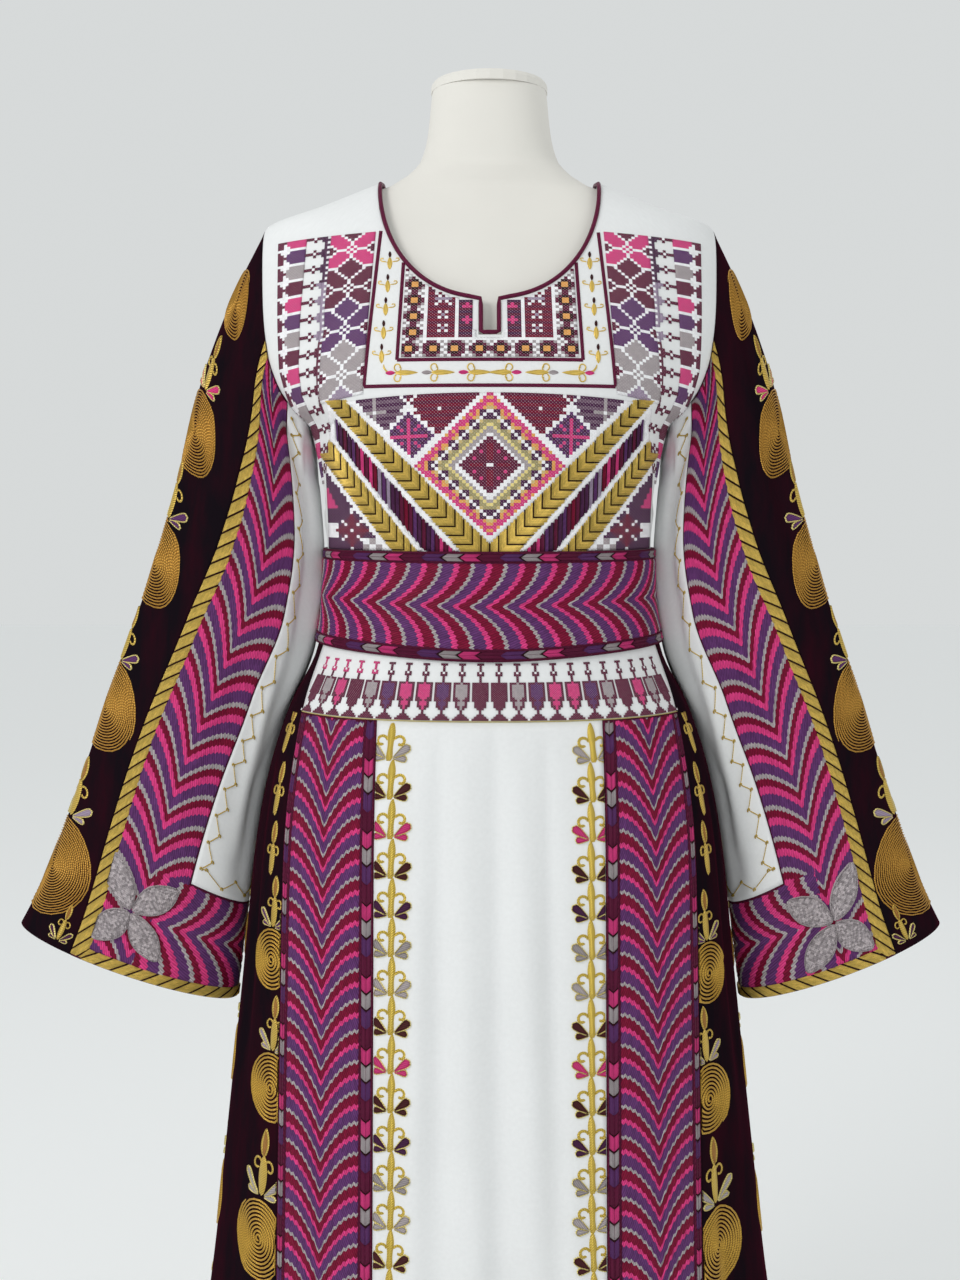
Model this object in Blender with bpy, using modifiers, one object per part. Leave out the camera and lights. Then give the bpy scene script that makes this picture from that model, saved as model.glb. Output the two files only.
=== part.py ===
"""A long embroidered thobe dress, worn by a limbless dress form that stands on a round base.

The frame is in metres with +Z up. The front of the dress faces -Y, and the origin is the middle of
the underside of the base. Every piece of cloth is a thin wall between two surfaces that are worked
out from the tables of sections below.
"""
import math

import bmesh
import bpy
from mathutils import Vector

COLLECTION = "thobe_on_dress_form"

# Cloth and seams
COTTON_WALL = 0.0015
VELVET_WALL = 0.0018
EMBROIDERED_WALL = 0.0018
STRIP_WALL = 0.0022
BELT_WALL = 0.0030
SEAM = 0.0003
BELT_EASE = 0.0008
FORM_DEPTH_EASE = 0.0080
FORM_DROP = 0.0021

# Heights
HEM_Z = 0.030
HIP_SEAM_Z = 0.9865
BELT_BOTTOM_Z = 1.036
WAIST_SEAM_Z = 1.085
BELT_TOP_Z = 1.129
BELT_SIDE_RISE = 0.009
UNDERARM_Z = 1.235
SHOULDER_TIP_Z = 1.4107
NECK_POINT_Z = 1.450

# Neck opening
NECK_HALF = 0.0965
NECK_BOTTOM_Z = 1.337
NECK_ROUNDNESS = 2.2
BACK_NECK_DROP = 0.012
SLIT_HALF = 0.0095
SLIT_BOTTOM_Z = 1.3075
PIPING_RADIUS = 0.0018
PIPING_RISE = 0.0003

# Dress form
FORM_BOTTOM_Z = 0.800
NECK_TOP_Z = 1.529
NECK_CAP_TOP_Z = 1.541
NECK_CAP_RADIUS = 0.0515
POLE_RADIUS = 0.0125
BASE_RADIUS = 0.190
BASE_RIM = 0.012
HUB_RADIUS = 0.030
HUB_TOP_Z = 0.045

# How square a level section is: 2 is an ellipse
SQUARENESS = 2.3

# Outside of the worn dress.
# height, half width, depth in front, depth behind
SECTIONS = (
    (0.030, 0.3150, 0.2150, 0.2200),
    (0.250, 0.2880, 0.1900, 0.1960),
    (0.453, 0.2560, 0.1700, 0.1760),
    (0.600, 0.2410, 0.1570, 0.1620),
    (0.734, 0.2275, 0.1460, 0.1500),
    (0.862, 0.2145, 0.1360, 0.1370),
    (0.930, 0.2010, 0.1290, 0.1240),
    (0.988, 0.1815, 0.1210, 0.1080),
    (1.036, 0.1575, 0.1120, 0.0920),
    (1.080, 0.1485, 0.1040, 0.0800),
    (1.129, 0.1465, 0.1030, 0.0780),
    (1.180, 0.1500, 0.1130, 0.0850),
    (1.235, 0.1600, 0.1250, 0.0930),
    (1.250, 0.1765, 0.1255, 0.0945),
    (1.270, 0.1930, 0.1240, 0.0950),
    (1.300, 0.2045, 0.1160, 0.0945),
    (1.340, 0.2100, 0.1010, 0.0920),
    (1.380, 0.2080, 0.0850, 0.0840),
    (1.4107, 0.1990, 0.0720, 0.0730),
    (1.430, 0.1490, 0.0640, 0.0660),
    (1.450, 0.0965, 0.0580, 0.0600),
    (1.460, 0.0695, 0.0550, 0.0570),
)

# Cut edge of the bodice where the sleeve is set in.
# height, distance from the middle
ARMHOLE = (
    (1.235, 0.1600),
    (1.240, 0.1610),
    (1.250, 0.1705),
    (1.270, 0.1835),
    (1.300, 0.1930),
    (1.340, 0.1970),
    (1.380, 0.1985),
    (1.4107, 0.1990),
)

# Dress form below the belt and above the shoulders.
# height, half width, depth in front, depth behind
FORM_HIPS = (
    (0.800, 0.140, 0.084, 0.084),
    (0.806, 0.150, 0.096, 0.094),
    (0.830, 0.160, 0.106, 0.102),
    (0.900, 0.168, 0.112, 0.106),
    (0.970, 0.162, 0.110, 0.098),
    (1.036, 0.1535, 0.108, 0.088),
)
# How far the torso stays inside the dress at its sides; it carries the dress on the shoulders.
# height, ease
FORM_EASE = (
    (1.036, 0.0040),
    (1.180, 0.0040),
    (1.215, 0.0090),
    (1.270, 0.0100),
    (1.320, 0.0070),
    (1.385, 0.0040),
    (1.406, 0.0021),
    (1.430, 0.0021),
    (1.447, 0.0100),
)
FORM_NECK = (
    (1.456, 0.074, 0.0530, 0.0550),
    (1.468, 0.062, 0.0500, 0.0530),
    (1.490, 0.055, 0.0485, 0.0510),
    (1.529, 0.0505, 0.0475, 0.0490),
)

# Skirt seams on the front: the edges of the embroidered bands.
# height, inner edge from the middle, outer edge from the middle
BAND_EDGES = (
    (0.030, 0.1100, 0.2000),
    (0.480, 0.1000, 0.1860),
    (0.750, 0.0985, 0.1830),
    (0.865, 0.0980, 0.1800),
    (0.988, 0.0955, 0.1645),
    (1.085, 0.0900, 0.1330),
)
BACK_SEAM_DEG = 128.0

# Soft folds of the skirt.
# direction in degrees from the front, half width in degrees, depth at the hem, height where it starts
FOLDS = (
    (16, 12, -0.004, 0.70),
    (-24, 14, -0.005, 0.62),
    (44, 13, 0.007, 0.80),
    (-46, 12, 0.006, 0.78),
    (67, 10, -0.013, 0.90),
    (-68, 11, -0.015, 0.92),
    (84, 10, 0.016, 0.88),
    (-85, 9, 0.014, 0.90),
    (101, 10, -0.019, 0.93),
    (-101, 10, -0.017, 0.90),
    (117, 9, 0.015, 0.88),
    (-118, 10, 0.017, 0.91),
    (136, 11, -0.016, 0.94),
    (-137, 11, -0.018, 0.92),
    (155, 11, 0.014, 0.90),
    (-154, 10, 0.012, 0.93),
    (176, 13, -0.015, 0.95),
)

# One sleeve, hanging open. Each row is a ring of the sleeve.
# share of the length, outer edge x and z, inner edge x and z, half depth
SLEEVE = (
    (0.00, 0.1990, 1.4107, 0.1600, 1.2350, 0.0470),
    (0.10, 0.2320, 1.3470, 0.1565, 1.2050, 0.0500),
    (0.22, 0.2623, 1.2711, 0.1530, 1.1267, 0.0500),
    (0.35, 0.2839, 1.1903, 0.1625, 1.0440, 0.0490),
    (0.47, 0.3065, 1.1130, 0.1925, 0.9696, 0.0480),
    (0.62, 0.3410, 1.0162, 0.2130, 0.8944, 0.0470),
    (0.78, 0.3790, 0.9086, 0.2245, 0.8088, 0.0460),
    (0.92, 0.4135, 0.8232, 0.2320, 0.7463, 0.0450),
    (1.00, 0.4362, 0.7800, 0.2380, 0.7080, 0.0450),
)
ARMHOLE_BLEND = 0.30
# The left sleeve is spread a little further from the body than the right one
SLEEVE_REACH = {"left": 1.005, "right": 0.940}

# Places round the sleeve in degrees: 180 is the outer edge, 90 the front, 0 next to the body
STEP_DEG = 15
VELVET_BACK_DEG = 255.0
UNDER_SEAM_DEG = 0.0
# share of the length, front edge of the velvet, front edge of the feather band, its inner edge
SLEEVE_SEAMS = (
    (0.00, 82.0, 75.0, 42.0),
    (0.12, 86.0, 79.0, 44.0),
    (0.25, 98.0, 91.0, 47.0),
    (0.50, 110.0, 103.0, 50.0),
    (0.77, 119.0, 112.0, 63.0),
    (1.00, 116.0, 109.0, 67.0),
)
CUFF_TOP = 0.800
HEM_EDGE_TOP = 0.984
SLEEVE_ROWS = (0.0, 0.05, 0.11, 0.19, 0.28, 0.37, 0.47, 0.58, 0.69, CUFF_TOP, 0.895, HEM_EDGE_TOP, 1.0)
SLEEVE_LENGTH = 0.69

BODICE_LOW_ROWS = 6
NECK_TURNS_DEG = (0, 17, 34, 50, 64, 76, 84, 88, 90)
NECK_LOW_SHARE = 0.555
SHOULDER_COLUMNS = 6
SKIRT_ROWS = (0.945, 0.895, 0.83, 0.75, 0.66, 0.56, 0.45, 0.34, 0.23, 0.12, HEM_Z)
HIP_ROWS = (WAIST_SEAM_Z, 1.060, BELT_BOTTOM_Z, 1.010)
FRONT_COLUMNS = 8
BAND_COLUMNS = 5
SIDE_COLUMNS = 12
BACK_COLUMNS = 13
BELT_COLUMNS = 52
FORM_COLUMNS = 38

COLOURS = {
    "cotton": ((0.83, 0.84, 0.85), 0.85),
    "chest": ((0.42, 0.12, 0.24), 0.75),
    "piping": ((0.16, 0.01, 0.05), 0.60),
    "feather": ((0.30, 0.05, 0.20), 0.60),
    "velvet": ((0.012, 0.010, 0.014), 0.95),
    "gold": ((0.55, 0.38, 0.09), 0.45),
    "form": ((0.78, 0.76, 0.72), 0.90),
    "metal": ((0.60, 0.60, 0.61), 0.35),
}


def smooth(table, column, at):
    """Reads a column of a table at any height, on a smooth curve that never overshoots its rows."""
    xs = [row[0] for row in table]
    ys = [row[column] for row in table]
    if at <= xs[0]:
        return ys[0]
    if at >= xs[-1]:
        return ys[-1]
    steps = [xs[i + 1] - xs[i] for i in range(len(xs) - 1)]
    slopes = [(ys[i + 1] - ys[i]) / steps[i] for i in range(len(steps))]
    tangents = [slopes[0]]
    for a, b in zip(slopes, slopes[1:]):
        tangents.append(2 * a * b / (a + b) if a * b > 0 else 0.0)
    tangents.append(slopes[-1])
    i = max(k for k in range(len(steps)) if xs[k] <= at)
    u = (at - xs[i]) / steps[i]
    rise = (3 - 2 * u) * u * u
    start = steps[i] * tangents[i] * u * (1 - u) ** 2
    end = steps[i] * tangents[i + 1] * u * u * (u - 1)
    return ys[i] * (1 - rise) + ys[i + 1] * rise + start + end


def spread(start, end, count):
    """Evenly spaced values with both ends."""
    return [start + (end - start) * k / count for k in range(count + 1)]


def half_width(z):
    return smooth(SECTIONS, 1, z)


def depth(z, behind):
    return smooth(SECTIONS, 3 if behind else 2, z)


def fold(z, degrees):
    """Distance that the folds push the skirt out at a height and direction."""
    push = 0.0
    for middle, half, at_hem, start in FOLDS:
        away = (degrees - middle + 180) % 360 - 180
        if abs(away) < half and z < start:
            growth = (start - z) / (start - HEM_Z)
            push += at_hem * growth ** 1.3 * math.cos(math.pi / 2 * away / half) ** 2
    return push


def section_radius(across, front_depth, degrees):
    """Radius of a level section with squared corners, in a direction from the front."""
    side = abs(math.sin(math.radians(degrees))) / across
    ahead = abs(math.cos(math.radians(degrees))) / front_depth
    return (side ** SQUARENESS + ahead ** SQUARENESS) ** (-1 / SQUARENESS)


def dress_skin(z, degrees):
    """A point on the outside of the dress."""
    behind = abs(degrees) > 90
    radius = section_radius(half_width(z), depth(z, behind), degrees) + fold(z, degrees)
    angle = math.radians(degrees)
    return Vector((radius * math.sin(angle), -radius * math.cos(angle), z))


def dress_point(z, degrees, out=0.0):
    """A point of the dress moved straight out of its surface."""
    small_turn = 0.5
    small_rise = 0.001
    turn = dress_skin(z, degrees + small_turn) - dress_skin(z, degrees - small_turn)
    rise = dress_skin(z + small_rise, degrees) - dress_skin(z - small_rise, degrees)
    return dress_skin(z, degrees) + turn.cross(rise).normalized() * out


def direction_of(x, z, behind=False):
    """Direction, in degrees from the front, in which the surface is at a distance from the middle."""
    share = min(abs(x) / half_width(z), 1.0)
    ahead = depth(z, behind) * (1 - share ** SQUARENESS) ** (1 / SQUARENESS)
    degrees = math.degrees(math.atan2(abs(x), ahead))
    if behind:
        degrees = 180 - degrees
    return math.copysign(degrees, x)


def ring_directions(count):
    """Directions round a level section, close together at the sides, where it turns tightly."""
    across, deep = half_width(BELT_TOP_Z), depth(BELT_TOP_Z, False)
    turns = [2 * math.pi * k / count - math.pi for k in range(count)]
    return [math.degrees(math.atan2(across * math.sin(turn), deep * math.cos(turn))) for turn in turns]


def armhole_x(z):
    """Distance from the middle to the side seam or, higher up, to the armhole."""
    if z <= UNDERARM_Z:
        return half_width(z)
    return smooth(ARMHOLE, 1, z)


def shoulder_z(x):
    """Height of the shoulder seam at a distance from the middle."""
    low, high = SHOULDER_TIP_Z, SECTIONS[-1][0]
    for _ in range(40):
        middle = (low + high) / 2
        if half_width(middle) > abs(x):
            low = middle
        else:
            high = middle
    return (low + high) / 2


def neck_edge(behind):
    """(x, z) of the cut neck edge from the middle out to the neck point."""
    drop = BACK_NECK_DROP if behind else NECK_POINT_Z - NECK_BOTTOM_Z
    edge = []
    for turn in NECK_TURNS_DEG:
        x = NECK_HALF * math.sin(math.radians(turn)) ** (2 / NECK_ROUNDNESS)
        z = NECK_POINT_Z - drop * max(math.cos(math.radians(turn)), 0.0) ** (2 / NECK_ROUNDNESS)
        edge.append((x, z))
    return edge


def bodice_columns(behind):
    """Columns of the bodice as (share of the half width low down, x and z of the top), left to right."""
    edge = neck_edge(behind)
    last = len(edge) - 1
    right = [(NECK_LOW_SHARE * k / last, x, z) for k, (x, z) in enumerate(edge)]
    tip_x = armhole_x(SHOULDER_TIP_Z)
    for k in range(1, SHOULDER_COLUMNS + 1):
        out = math.sin(math.pi / 2 * k / SHOULDER_COLUMNS)
        x = NECK_HALF + (tip_x - NECK_HALF) * out
        right.append((NECK_LOW_SHARE + (1 - NECK_LOW_SHARE) * out, x, shoulder_z(x)))
    if not behind:
        share = SLIT_HALF / tip_x
        right[0] = (0.0, 0.0, SLIT_BOTTOM_Z)
        foot = (share, SLIT_HALF, SLIT_BOTTOM_Z)
        head = (share * 1.03, SLIT_HALF * 1.03, NECK_BOTTOM_Z)
        right[1:1] = [foot, head]
    return [(-share, -x, z) for share, x, z in reversed(right[1:])] + right


def armhole_heights():
    """Heights of the shared points of the armhole, from the underarm up to the shoulder tip."""
    middle = (SHOULDER_TIP_Z + UNDERARM_Z) / 2
    half = (SHOULDER_TIP_Z - UNDERARM_Z) / 2
    steps = 180 // STEP_DEG
    return [middle - half * math.cos(math.pi * k / steps) for k in range(steps + 1)]


def bodice_heights():
    """Heights of the bodice rows at the armhole, with one more row just under the shoulder seam."""
    heights = armhole_heights()
    close_under = heights[-2] + (heights[-1] - heights[-2]) * 0.7
    return [*heights[:-1], close_under, heights[-1]]


def bodice_column_points(share, top_x, top_z):
    """(x, z) of one column of the bodice, from the waist seam up to its top edge."""
    low = spread(WAIST_SEAM_Z, UNDERARM_Z, BODICE_LOW_ROWS)[:-1]
    points = [(share * armhole_x(z), z) for z in low]
    for z in bodice_heights():
        climb = (z - UNDERARM_Z) / (SHOULDER_TIP_Z - UNDERARM_Z)
        if abs(share) == 1:
            points.append((share * armhole_x(z), z))
            continue
        own_z = UNDERARM_Z + climb * (top_z - UNDERARM_Z)
        straight_x = share * armhole_x(min(own_z, SHOULDER_TIP_Z))
        points.append((straight_x + (top_x - straight_x) * climb ** 2, own_z))
    return points


def bodice_grids(behind):
    """Outer and inner points of the bodice, a row for each step up."""
    nudge = Vector((0, SEAM / 2 if behind else -SEAM / 2, 0))
    columns = []
    for share, top_x, top_z in bodice_columns(behind):
        column = []
        for x, z in bodice_column_points(share, top_x, top_z):
            degrees = direction_of(x, z, behind)
            column.append((dress_point(z, degrees) + nudge, dress_point(z, degrees, -COTTON_WALL) + nudge))
        columns.append(column)
    rows = list(zip(*columns))
    return [[pair[0] for pair in row] for row in rows], [[pair[1] for pair in row] for row in rows]


def bodice_edge_x(z):
    """Distance from the middle to the cut edge of the bodice, straight between its rows."""
    heights = armhole_heights()
    if z <= heights[0] or z >= heights[-1]:
        return armhole_x(min(z, SHOULDER_TIP_Z))
    above = next(k for k, height in enumerate(heights) if height > z)
    low, high = heights[above - 1], heights[above]
    return armhole_x(low) + (armhole_x(high) - armhole_x(low)) * (z - low) / (high - low)


def armhole_ring(degrees):
    """A point of the armhole, straight between the points that it shares with the bodice."""
    heights = armhole_heights()
    turned = degrees % 360
    behind = turned > 180
    place = (360 - turned if behind else turned) / STEP_DEG
    first = min(int(place), len(heights) - 2)
    ends = []
    for z in heights[first:first + 2]:
        x = armhole_x(z)
        point = dress_skin(z, direction_of(x, z, behind))
        ends.append(Vector((x, point.y, z)))
    return ends[0].lerp(ends[1], place - first)


def oval_ring(degrees, share, reach):
    """A point of the plain oval sleeve, whose outer edge is spread by its reach."""
    shoulder_x = SLEEVE[0][1]
    outer_x = shoulder_x + (smooth(SLEEVE, 1, share) - shoulder_x) * reach
    outer = Vector((outer_x, 0, smooth(SLEEVE, 2, share)))
    inner = Vector((smooth(SLEEVE, 3, share), 0, smooth(SLEEVE, 4, share)))
    angle = math.radians(degrees)
    middle = (outer + inner) / 2
    front = Vector((0, -smooth(SLEEVE, 5, share), 0))
    return middle + (inner - outer) / 2 * math.cos(angle) + front * math.sin(angle)


def sleeve_skin(degrees, share, reach):
    """A point on the outside of a sleeve at +X: the armhole near the bodice, an oval further out."""
    point = oval_ring(degrees, share, reach)
    if share < ARMHOLE_BLEND:
        u = max(share, 0.0) / ARMHOLE_BLEND
        keep = 1 - (3 - 2 * u) * u * u
        point += (armhole_ring(degrees) - oval_ring(degrees, 0.0, reach)) * keep
    return point


def sleeve_point(degrees, share, reach, out):
    """A sleeve point moved out of its surface and kept clear of the bodice."""
    small_turn = 2.0
    small_step = 0.004
    low = max(share - small_step, 0.0)
    turn = sleeve_skin(degrees + small_turn, share, reach) - sleeve_skin(degrees - small_turn, share, reach)
    along = sleeve_skin(degrees, share + small_step, reach) - sleeve_skin(degrees, low, reach)
    point = sleeve_skin(degrees, share, reach) + along.cross(turn).normalized() * out
    if share < ARMHOLE_BLEND:
        point.x = max(point.x, bodice_edge_x(point.z) + SEAM)
    return point


def material(name, kind):
    """A plain material in the colour and roughness of its kind."""
    colour, roughness = COLOURS[kind]
    made = bpy.data.materials.new(name)
    made.use_nodes = True
    shader = made.node_tree.nodes["Principled BSDF"]
    shader.inputs["Base Color"].default_value = (*colour, 1)
    shader.inputs["Roughness"].default_value = roughness
    shader.inputs["Metallic"].default_value = 1.0 if kind == "metal" else 0.0
    made.diffuse_color = (*colour, 1)
    return made


def add_object(name, data, kind, home):
    """Links new mesh or curve data to the dress collection with its own material."""
    data.materials.append(material(name, kind))
    made = bpy.data.objects.new(name, data)
    home.objects.link(made)
    return made


def add_mesh(name, bm, kind, home):
    """Turns a closed bmesh into an object that is shaded smooth."""
    bmesh.ops.recalc_face_normals(bm, faces=bm.faces)
    mesh = bpy.data.meshes.new(name)
    bm.to_mesh(mesh)
    bm.free()
    mesh.shade_smooth()
    mesh.set_sharp_from_angle(angle=math.radians(45))
    return add_object(name, mesh, kind, home)


def loft(bm, rings, wrap):
    """Joins closed rings of as many points each. Without wrap the first and last ring stay open."""
    made = [[bm.verts.new(point) for point in ring] for ring in rings]
    pairs = list(zip(made, made[1:]))
    if wrap:
        pairs.append((made[-1], made[0]))
    for ring, other in pairs:
        for k in range(len(ring)):
            after = (k + 1) % len(ring)
            bm.faces.new((ring[k], ring[after], other[after], other[k]))
    return made


def cloth_panel(name, outer, inner, kind, home):
    """A panel of cloth: the wall between two grids of points, closed along its four edges."""
    bm = bmesh.new()
    rings = loft(bm, [a + b[::-1] for a, b in zip(outer, inner)], wrap=False)
    width = len(outer[0])
    for ring in (rings[0], rings[-1]):
        for k in range(width - 1):
            bm.faces.new((ring[k], ring[k + 1], ring[-k - 2], ring[-k - 1]))
    return add_mesh(name, bm, kind, home)


def solid_loft(name, rings, kind, home):
    """A closed solid through level rings, flat at both ends."""
    bm = bmesh.new()
    made = loft(bm, rings, wrap=False)
    bm.faces.new(made[0])
    bm.faces.new(made[-1])
    return add_mesh(name, bm, kind, home)


def turned(name, profile, kind, home, steps=28):
    """A turned piece: a profile of (radius, height) with a Screw modifier, from its top to its foot."""
    mesh = bpy.data.meshes.new(name)
    edges = [(k, k + 1) for k in range(len(profile) - 1)]
    mesh.from_pydata([(radius, 0, z) for radius, z in profile], edges, [])
    made = add_object(name, mesh, kind, home)
    screw = made.modifiers.new("Turn", "SCREW")
    screw.steps = steps
    screw.render_steps = steps
    screw.use_merge_vertices = True
    screw.merge_threshold = 0.0001
    return made


def skirt_panel(name, left, right, columns, heights, wall, kind, home):
    """A skirt panel between two seams, given as functions from height to direction in degrees."""
    outer, inner = [], []
    for z in heights:
        gap = math.degrees(SEAM / 2 / dress_skin(z, left(z)).xy.length)
        places = spread(left(z) + gap, right(z) - gap, columns)
        outer.append([dress_point(z, degrees) for degrees in places])
        inner.append([dress_point(z, degrees, -wall) for degrees in places])
    return cloth_panel(name, outer, inner, kind, home)


def band_inner(z):
    return direction_of(smooth(BAND_EDGES, 1, z), z)


def band_outer(z):
    return direction_of(smooth(BAND_EDGES, 2, z), z)


def back_seam(z):
    return BACK_SEAM_DEG


def mirrored(seam):
    return lambda z: -seam(z)


def build_bodice(home):
    """Front and back of the bodice, and the piping round the neck and its slit."""
    outer, inner = bodice_grids(behind=False)
    cloth_panel("bodice_front", outer, inner, "chest", home)
    outer, inner = bodice_grids(behind=True)
    cloth_panel("bodice_back", outer, inner, "cotton", home)
    build_neck_binding(home)


def whole_neck_edge(behind):
    """The cut neck edge from one neck point to the other, without the slit."""
    right = [Vector(point) for point in neck_edge(behind)]
    return [Vector((-point.x, point.y)) for point in reversed(right[1:])] + right


def beside_edge(edge, reach):
    """The points of an edge, all but its ends, moved up and inward by a distance."""
    moved = []
    for before, point, after in zip(edge, edge[1:], edge[2:]):
        run = (after - before).normalized()
        moved.append(point + Vector((-run.y, run.x)) * reach)
    return moved


def build_neck_binding(home):
    """Piping that lies beside the cut edge, its middle a radius inside the opening."""
    reach = PIPING_RADIUS + SEAM
    slit_x = SLIT_HALF - reach
    slit_foot = SLIT_BOTTOM_Z + reach
    slit_head = NECK_BOTTOM_Z + reach
    neck_x = NECK_HALF - reach
    front = beside_edge(whole_neck_edge(behind=False), reach)
    left = [point for point in front if point.x < -SLIT_HALF - reach]
    right = [point for point in front if point.x > SLIT_HALF + reach]
    slit = [(-slit_x, slit_head), (-slit_x, slit_foot), (slit_x, slit_foot), (slit_x, slit_head)]
    front = [(-neck_x, shoulder_z(neck_x)), *left, *slit, *right, (neck_x, shoulder_z(neck_x))]
    back = beside_edge(whole_neck_edge(behind=True), reach)[::-1]
    path = [dress_point(z, direction_of(x, z), PIPING_RISE) for x, z in front]
    path += [dress_point(z, direction_of(x, z, True), PIPING_RISE) for x, z in back]
    curve = bpy.data.curves.new("neck_binding", "CURVE")
    curve.dimensions = "3D"
    curve.bevel_depth = PIPING_RADIUS
    curve.bevel_resolution = 1
    spline = curve.splines.new("POLY")
    spline.points.add(len(path) - 1)
    for k, place in enumerate(path):
        spline.points[k].co = (*place, 1)
    spline.use_cyclic_u = True
    add_object("neck_binding", curve, "piping", home)


def build_belt(home):
    """The stiff belt, a closed band just outside the dress, a little narrower at the sides."""
    rings = []
    for degrees in ring_directions(BELT_COLUMNS):
        foot = BELT_BOTTOM_Z + BELT_SIDE_RISE * math.sin(math.radians(degrees)) ** 2
        heights = spread(foot, BELT_TOP_Z, 4)
        outside = [dress_point(z, degrees, BELT_EASE + BELT_WALL) for z in heights]
        inside = [dress_point(z, degrees, BELT_EASE) for z in heights]
        rings.append(outside + inside[::-1])
    bm = bmesh.new()
    loft(bm, rings, wrap=True)
    add_mesh("belt", bm, "feather", home)


def build_skirt(home):
    """Hip band, white front, embroidered bands, velvet sides and white back."""
    hip_foot = HIP_SEAM_Z + SEAM / 2
    below_hip = (HIP_SEAM_Z - SEAM / 2, *SKIRT_ROWS)
    from_waist = (WAIST_SEAM_Z - SEAM, *HIP_ROWS[1:], *below_hip)
    hips = (WAIST_SEAM_Z - SEAM, *HIP_ROWS[1:], hip_foot)
    hip_columns = FRONT_COLUMNS + 2 * BAND_COLUMNS
    skirt_panel("hip_band", mirrored(band_outer), band_outer, hip_columns, hips, COTTON_WALL, "chest", home)
    skirt_panel("skirt_front", mirrored(band_inner), band_inner, FRONT_COLUMNS, below_hip,
                COTTON_WALL, "cotton", home)
    skirt_panel("skirt_band_right", band_inner, band_outer, BAND_COLUMNS, below_hip,
                EMBROIDERED_WALL, "feather", home)
    skirt_panel("skirt_band_left", mirrored(band_outer), mirrored(band_inner), BAND_COLUMNS, below_hip,
                EMBROIDERED_WALL, "feather", home)
    skirt_panel("skirt_side_right", band_outer, back_seam, SIDE_COLUMNS, from_waist,
                VELVET_WALL, "velvet", home)
    skirt_panel("skirt_side_left", mirrored(back_seam), mirrored(band_outer), SIDE_COLUMNS, from_waist,
                VELVET_WALL, "velvet", home)
    skirt_panel("skirt_back", back_seam, lambda z: 360 - BACK_SEAM_DEG, BACK_COLUMNS, from_waist,
                COTTON_WALL, "cotton", home)


def sleeve_columns(first, last):
    """Shares across a sleeve panel of the armhole points between its two seams at the armhole."""
    inside = [d for d in range(-180, 361, STEP_DEG) if min(first, last) + 1 < d < max(first, last) - 1]
    places = sorted([first, last, *inside], reverse=first > last)
    return [(place - first) / (last - first) for place in places]


def length_per_degree(degrees, share, reach):
    """How far a sleeve ring runs in one degree at a place."""
    return (sleeve_skin(degrees + 0.5, share, reach) - sleeve_skin(degrees - 0.5, share, reach)).length


def sleeve_places(seams, share, reach):
    """Degrees across a sleeve panel, through all its seams, with half a seam gap left at both ends."""
    ends = [seam(share) for seam in seams]
    one_way = math.copysign(1, ends[-1] - ends[0])
    ends[0] += one_way * SEAM / 2 / length_per_degree(ends[0], share, reach)
    ends[-1] -= one_way * SEAM / 2 / length_per_degree(ends[-1], share, reach)
    places = ends[:1]
    for k in range(len(seams) - 1):
        columns = sleeve_columns(seams[k](0.0), seams[k + 1](0.0))
        places += [ends[k] + (ends[k + 1] - ends[k]) * column for column in columns[1:]]
    return places


def sleeve_panel(name, side, seams, shares_along, wall, kind, home, raised=0.0):
    """A sleeve panel between its first and last seam, given as functions from length share to degrees."""
    reach = SLEEVE_REACH[side]
    outer, inner = [], []
    for share in shares_along:
        places = sleeve_places(seams, share, reach)
        outer.append([sleeve_point(degrees, share, reach, raised) for degrees in places])
        inner.append([sleeve_point(degrees, share, reach, raised - wall) for degrees in places])
    if side == "left":
        for row in outer + inner:
            for point in row:
                point.x = -point.x
    return cloth_panel(f"{name}_{side}", outer, inner, kind, home)


def build_sleeve(side, home):
    """One sleeve: velvet outside, gold strip, feather band, white underside seamed along the bottom
    fold, cuff and gold edge."""
    def velvet_back(share):
        return VELVET_BACK_DEG

    def velvet_front(share):
        return smooth(SLEEVE_SEAMS, 1, share)

    def band_front(share):
        return smooth(SLEEVE_SEAMS, 2, share)

    def band_under(share):
        return smooth(SLEEVE_SEAMS, 3, share)

    def under_seam(share):
        return UNDER_SEAM_DEG

    def under_back(share):
        return VELVET_BACK_DEG - 360

    gap = SEAM / 2 / SLEEVE_LENGTH
    full = SLEEVE_ROWS
    to_edge = [row for row in full if row < HEM_EDGE_TOP] + [HEM_EDGE_TOP - gap]
    to_cuff = [row for row in full if row < CUFF_TOP] + [CUFF_TOP - gap]
    cuff = [CUFF_TOP + gap] + [row for row in full if CUFF_TOP < row < HEM_EDGE_TOP] + [HEM_EDGE_TOP - gap]
    edge = [HEM_EDGE_TOP + gap, 1.0]
    sleeve_panel("sleeve_velvet", side, (velvet_back, velvet_front), full, VELVET_WALL,
                 "velvet", home)
    sleeve_panel("sleeve_strip", side, (velvet_front, band_front), full, STRIP_WALL,
                 "gold", home, raised=0.0004)
    sleeve_panel("sleeve_band", side, (band_front, band_under), to_edge, EMBROIDERED_WALL,
                 "feather", home)
    sleeve_panel("sleeve_under", side, (band_under, under_seam), to_cuff, COTTON_WALL,
                 "cotton", home)
    sleeve_panel("sleeve_back", side, (under_seam, under_back), to_cuff, COTTON_WALL,
                 "cotton", home)
    sleeve_panel("sleeve_cuff", side, (band_under, under_seam, under_back), cuff, EMBROIDERED_WALL,
                 "feather", home)
    sleeve_panel("sleeve_edge", side, (band_front, band_under, under_seam, under_back), edge, STRIP_WALL,
                 "gold", home, raised=0.0004)


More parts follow.
